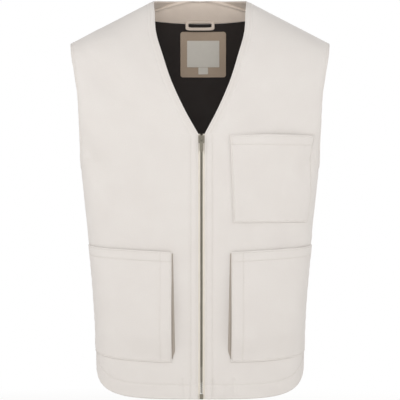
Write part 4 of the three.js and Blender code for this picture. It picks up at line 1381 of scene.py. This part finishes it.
for name, side in (("zip_tape_left", 1), ("zip_tape_right", -1)):
    cloth[name] = make_cloth(name + "_weave", [tape_sheet(name, side)], tape_weave)

# %% [markdown]
# ### Teeth
# Each tooth is a small clamp of metal, with a head that reaches past the closing line between two heads of
# the other side. One tooth is an outline of ten points in four rings, repeated at every pitch, in one mesh
# a side.

# %% Zip teeth
TOOTH_PITCH = 3.2
TOOTH_OUTLINE = (
    # x from the closing line towards the tape, z from the tooth's middle
    (2.2, -0.62),
    (1.0, -0.62),
    (0.5, -0.8),
    (-0.5, -0.72),
    (-0.8, -0.42),
    (-0.8, 0.42),
    (-0.5, 0.72),
    (0.5, 0.8),
    (1.0, 0.62),
    (2.2, 0.62),
)


def tooth_rings(half_depth):
    """Rings of a tooth from its front to its back face, with chamfered rims."""
    outline = np.array(TOOTH_OUTLINE)
    middle = outline.mean(0)
    rings = []
    for depth, scale in ((-1.0, 0.86), (-0.82, 1.0), (0.82, 1.0), (1.0, 0.86)):
        ring = middle + (outline - middle) * scale
        rings.append(np.stack((ring[:, 0], np.full(len(ring), depth * half_depth), ring[:, 1]), -1))
    return np.concatenate(rings)


def teeth_mesh(name, side):
    low, high = box_mm(name)
    middle_y = (low[1] + high[1]) / 2
    tooth = tooth_rings((high[1] - low[1]) / 2) * (side, 1, 1)
    count = len(TOOTH_OUTLINE)
    pitch_count = int((high[2] - low[2]) / TOOTH_PITCH)
    heights = low[2] + TOOTH_PITCH / 2 + TOOTH_PITCH * np.arange(pitch_count)
    places = np.stack((0 * heights + CLOSURE_SHIFT, 0 * heights + middle_y, heights), -1)
    points = tooth[None] + places[:, None]
    pattern = [tuple(range(count)), tuple(range(4 * count - 1, 3 * count - 1, -1))]
    for ring in (0, count, 2 * count):
        for k in range(count):
            following = (k + 1) % count
            pattern.append((ring + k, ring + count + k, ring + count + following, ring + following))
    if side < 0:
        pattern = [face[::-1] for face in pattern]
    faces = [tuple(i + 4 * count * n for i in face) for n in range(len(points)) for face in pattern]
    made = new_object(name + "_metal", points.reshape(-1, 3), faces, None, zip_nickel)
    made.data.polygons.foreach_set("use_smooth", [False] * len(made.data.polygons))
    print(name, "has", len(points), "teeth")
    return made


zip_teeth = {name: teeth_mesh(name, side) for name, side in (("zip_teeth_left", 1), ("zip_teeth_right", -1))}

# %% [markdown]
# ### Stops, box, pin, slider and puller
# These small castings keep the shape of the solids. Real ones are tumbled smooth, so their flat faces are
# merged, and a narrow bevel breaks every edge and catches the light.

# %% Zip castings
CASTING_BEVELS = {
    "zip_stop_left": 0.35,
    "zip_stop_right": 0.35,
    "zip_box": 0.5,
    "zip_pin": 0.15,
    "zip_slider": 0.3,
    "zip_puller": 0.25,
}


def finish_casting(name, bevel):
    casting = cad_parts[name]
    casting.data.materials.clear()
    casting.data.materials.append(zip_nickel)
    merge = casting.modifiers.new("merge_flat_faces", "DECIMATE")
    merge.decimate_type = "DISSOLVE"
    merge.angle_limit = math.radians(1)
    edges = casting.modifiers.new("broken_edges", "BEVEL")
    edges.width = bevel * MM
    edges.segments = 2
    edges.limit_method = "ANGLE"
    edges.angle_limit = math.radians(30)
    edges.use_clamp_overlap = True
    return casting


for name, bevel in CASTING_BEVELS.items():
    finish_casting(name, bevel)

# %% [markdown]
# ## What each piece stands for
# Every cloth piece rides on the vest's body and takes the place of one solid. A table lists for each sheet
# the size that it is cut to, which is the pattern piece's width and length before it is sewn, and each
# piece's area is printed beside the area of its cut.

# %% Pieces, bodies and flat sizes
FLAT_SIZES = {
    # width, length and area of the cut in metres
    "front_left": (0.285, 0.73, 0.170),
    "front_right": (0.285, 0.73, 0.170),
    "back": (0.57, 0.75, 0.370),
    "back_lining": (0.56, 0.70, 0.330),
    "neck_facing": (0.30, 0.08, 0.0157),
    "label_patch": (0.086, 0.084, 0.0072),
    "woven_label": (0.061, 0.049, 0.00298),
    "size_tab": (0.018, 0.013, 0.00023),
    "hanger_loop": (0.054, 0.018, 0.0006),
    "chest_pocket": (0.16, 0.155, 0.0245),
    "lower_pocket_left": (0.19, 0.195, 0.0355),
    "lower_pocket_right": (0.19, 0.195, 0.0355),
    "lower_gusset_left": (0.025, 0.183, 0.0044),
    "lower_gusset_right": (0.025, 0.183, 0.0044),
    "zip_tape_left": (0.0126, 0.457, 0.00575),
    "zip_tape_right": (0.0126, 0.457, 0.00575),
}


def cloth_area(made):
    """Half the surface of a closed piece, in square metres."""
    return sum(face.area for face in made.data.polygons) / 2


for node, made in cloth.items():
    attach(made, "vest")
    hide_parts(node)
    width, length, area = FLAT_SIZES[node]
    print(node, "measures", round(cloth_area(made), 5), "of", area)
for node, made in stitches.items():
    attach(made, "vest")
for node, made in zip_teeth.items():
    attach(made, "vest")
    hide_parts(node)

# %% [markdown]
# ## Floor and light
# The vest hangs above a plain pale floor, which turns into plain white further out. A white sky gives even
# light, as in a white studio, and large soft lamps near the camera brighten what faces it.

# %% Floor
FLOOR_DROP = 0.95
FLOOR_RADIUS = 9.0
PALE_TO = 0.5
WHITE_FROM = 2.0


def floor_material():
    material, tree, surface = new_material("pale_studio_floor", Roughness=0.8)
    surface.inputs["Base Color"].default_value = linear("#e9e7e4")
    place = add_node(tree, "ShaderNodeTexCoord").outputs["Object"]
    gap = add_node(tree, "ShaderNodeVectorMath", {0: place}, operation="LENGTH")
    fade = {"Value": gap.outputs["Value"], "From Min": PALE_TO, "From Max": WHITE_FROM}
    share = add_node(tree, "ShaderNodeMapRange", fade).outputs[0]
    glow = add_node(tree, "ShaderNodeEmission", {"Color": (1, 1, 1, 1), "Strength": 1.0}).outputs[0]
    both = add_node(tree, "ShaderNodeMixShader", {0: share, 1: surface.outputs[0], 2: glow})
    tree.links.new(both.outputs[0], tree.nodes["Material Output"].inputs["Surface"])
    return material


bpy.ops.mesh.primitive_circle_add(
    vertices=96, radius=FLOOR_RADIUS, fill_type="NGON", location=(0, 0, -FLOOR_DROP)
)
floor = bpy.context.object
floor.name = "floor"
floor.data.materials.append(floor_material())

# %% Sky and lamps
SKY_ON_CLOTH = 0.46
LAMPS = {
    # place in metres, height that it is aimed at, width in metres and power in watts
    "high_lamp": ((-0.5, -2.9, 1.1), -0.3, 1.8, 20),
    "low_lamp": ((0.3, -2.9, -0.75), -0.1, 1.2, 16),
    "left_lamp": ((-2.8, -1.1, 0.8), -0.3, 1.6, 27),
    "right_lamp": ((2.8, -1.1, 0.8), -0.3, 1.6, 25),
    "back_lamp": ((0.6, 3.0, 0.8), -0.3, 2.0, 40),
}

world = bpy.data.worlds.new("white_studio")
bpy.context.scene.world = world
world.use_nodes = True
sky_tree = world.node_tree
seen = add_node(sky_tree, "ShaderNodeLightPath").outputs["Is Camera Ray"]
strength = add_node(sky_tree, "ShaderNodeMapRange", {"Value": seen, "To Min": SKY_ON_CLOTH, "To Max": 1.0})
sky = sky_tree.nodes["Background"]
sky.inputs["Color"].default_value = (1, 1, 1, 1)
sky_tree.links.new(strength.outputs[0], sky.inputs["Strength"])


def lamp(name, place, aim, size, power):
    data = bpy.data.lights.new(name, "AREA")
    data.shape = "DISK"
    data.size = size
    data.energy = power
    made = bpy.data.objects.new(name, data)
    made.location = place
    made.rotation_euler = (Vector((0, 0, aim)) - Vector(place)).to_track_quat("-Z", "Y").to_euler()
    bpy.context.scene.collection.objects.link(made)


for name, settings in LAMPS.items():
    lamp(name, *settings)

view = bpy.context.scene.view_settings
view.view_transform = "Standard"
view.look = "None"
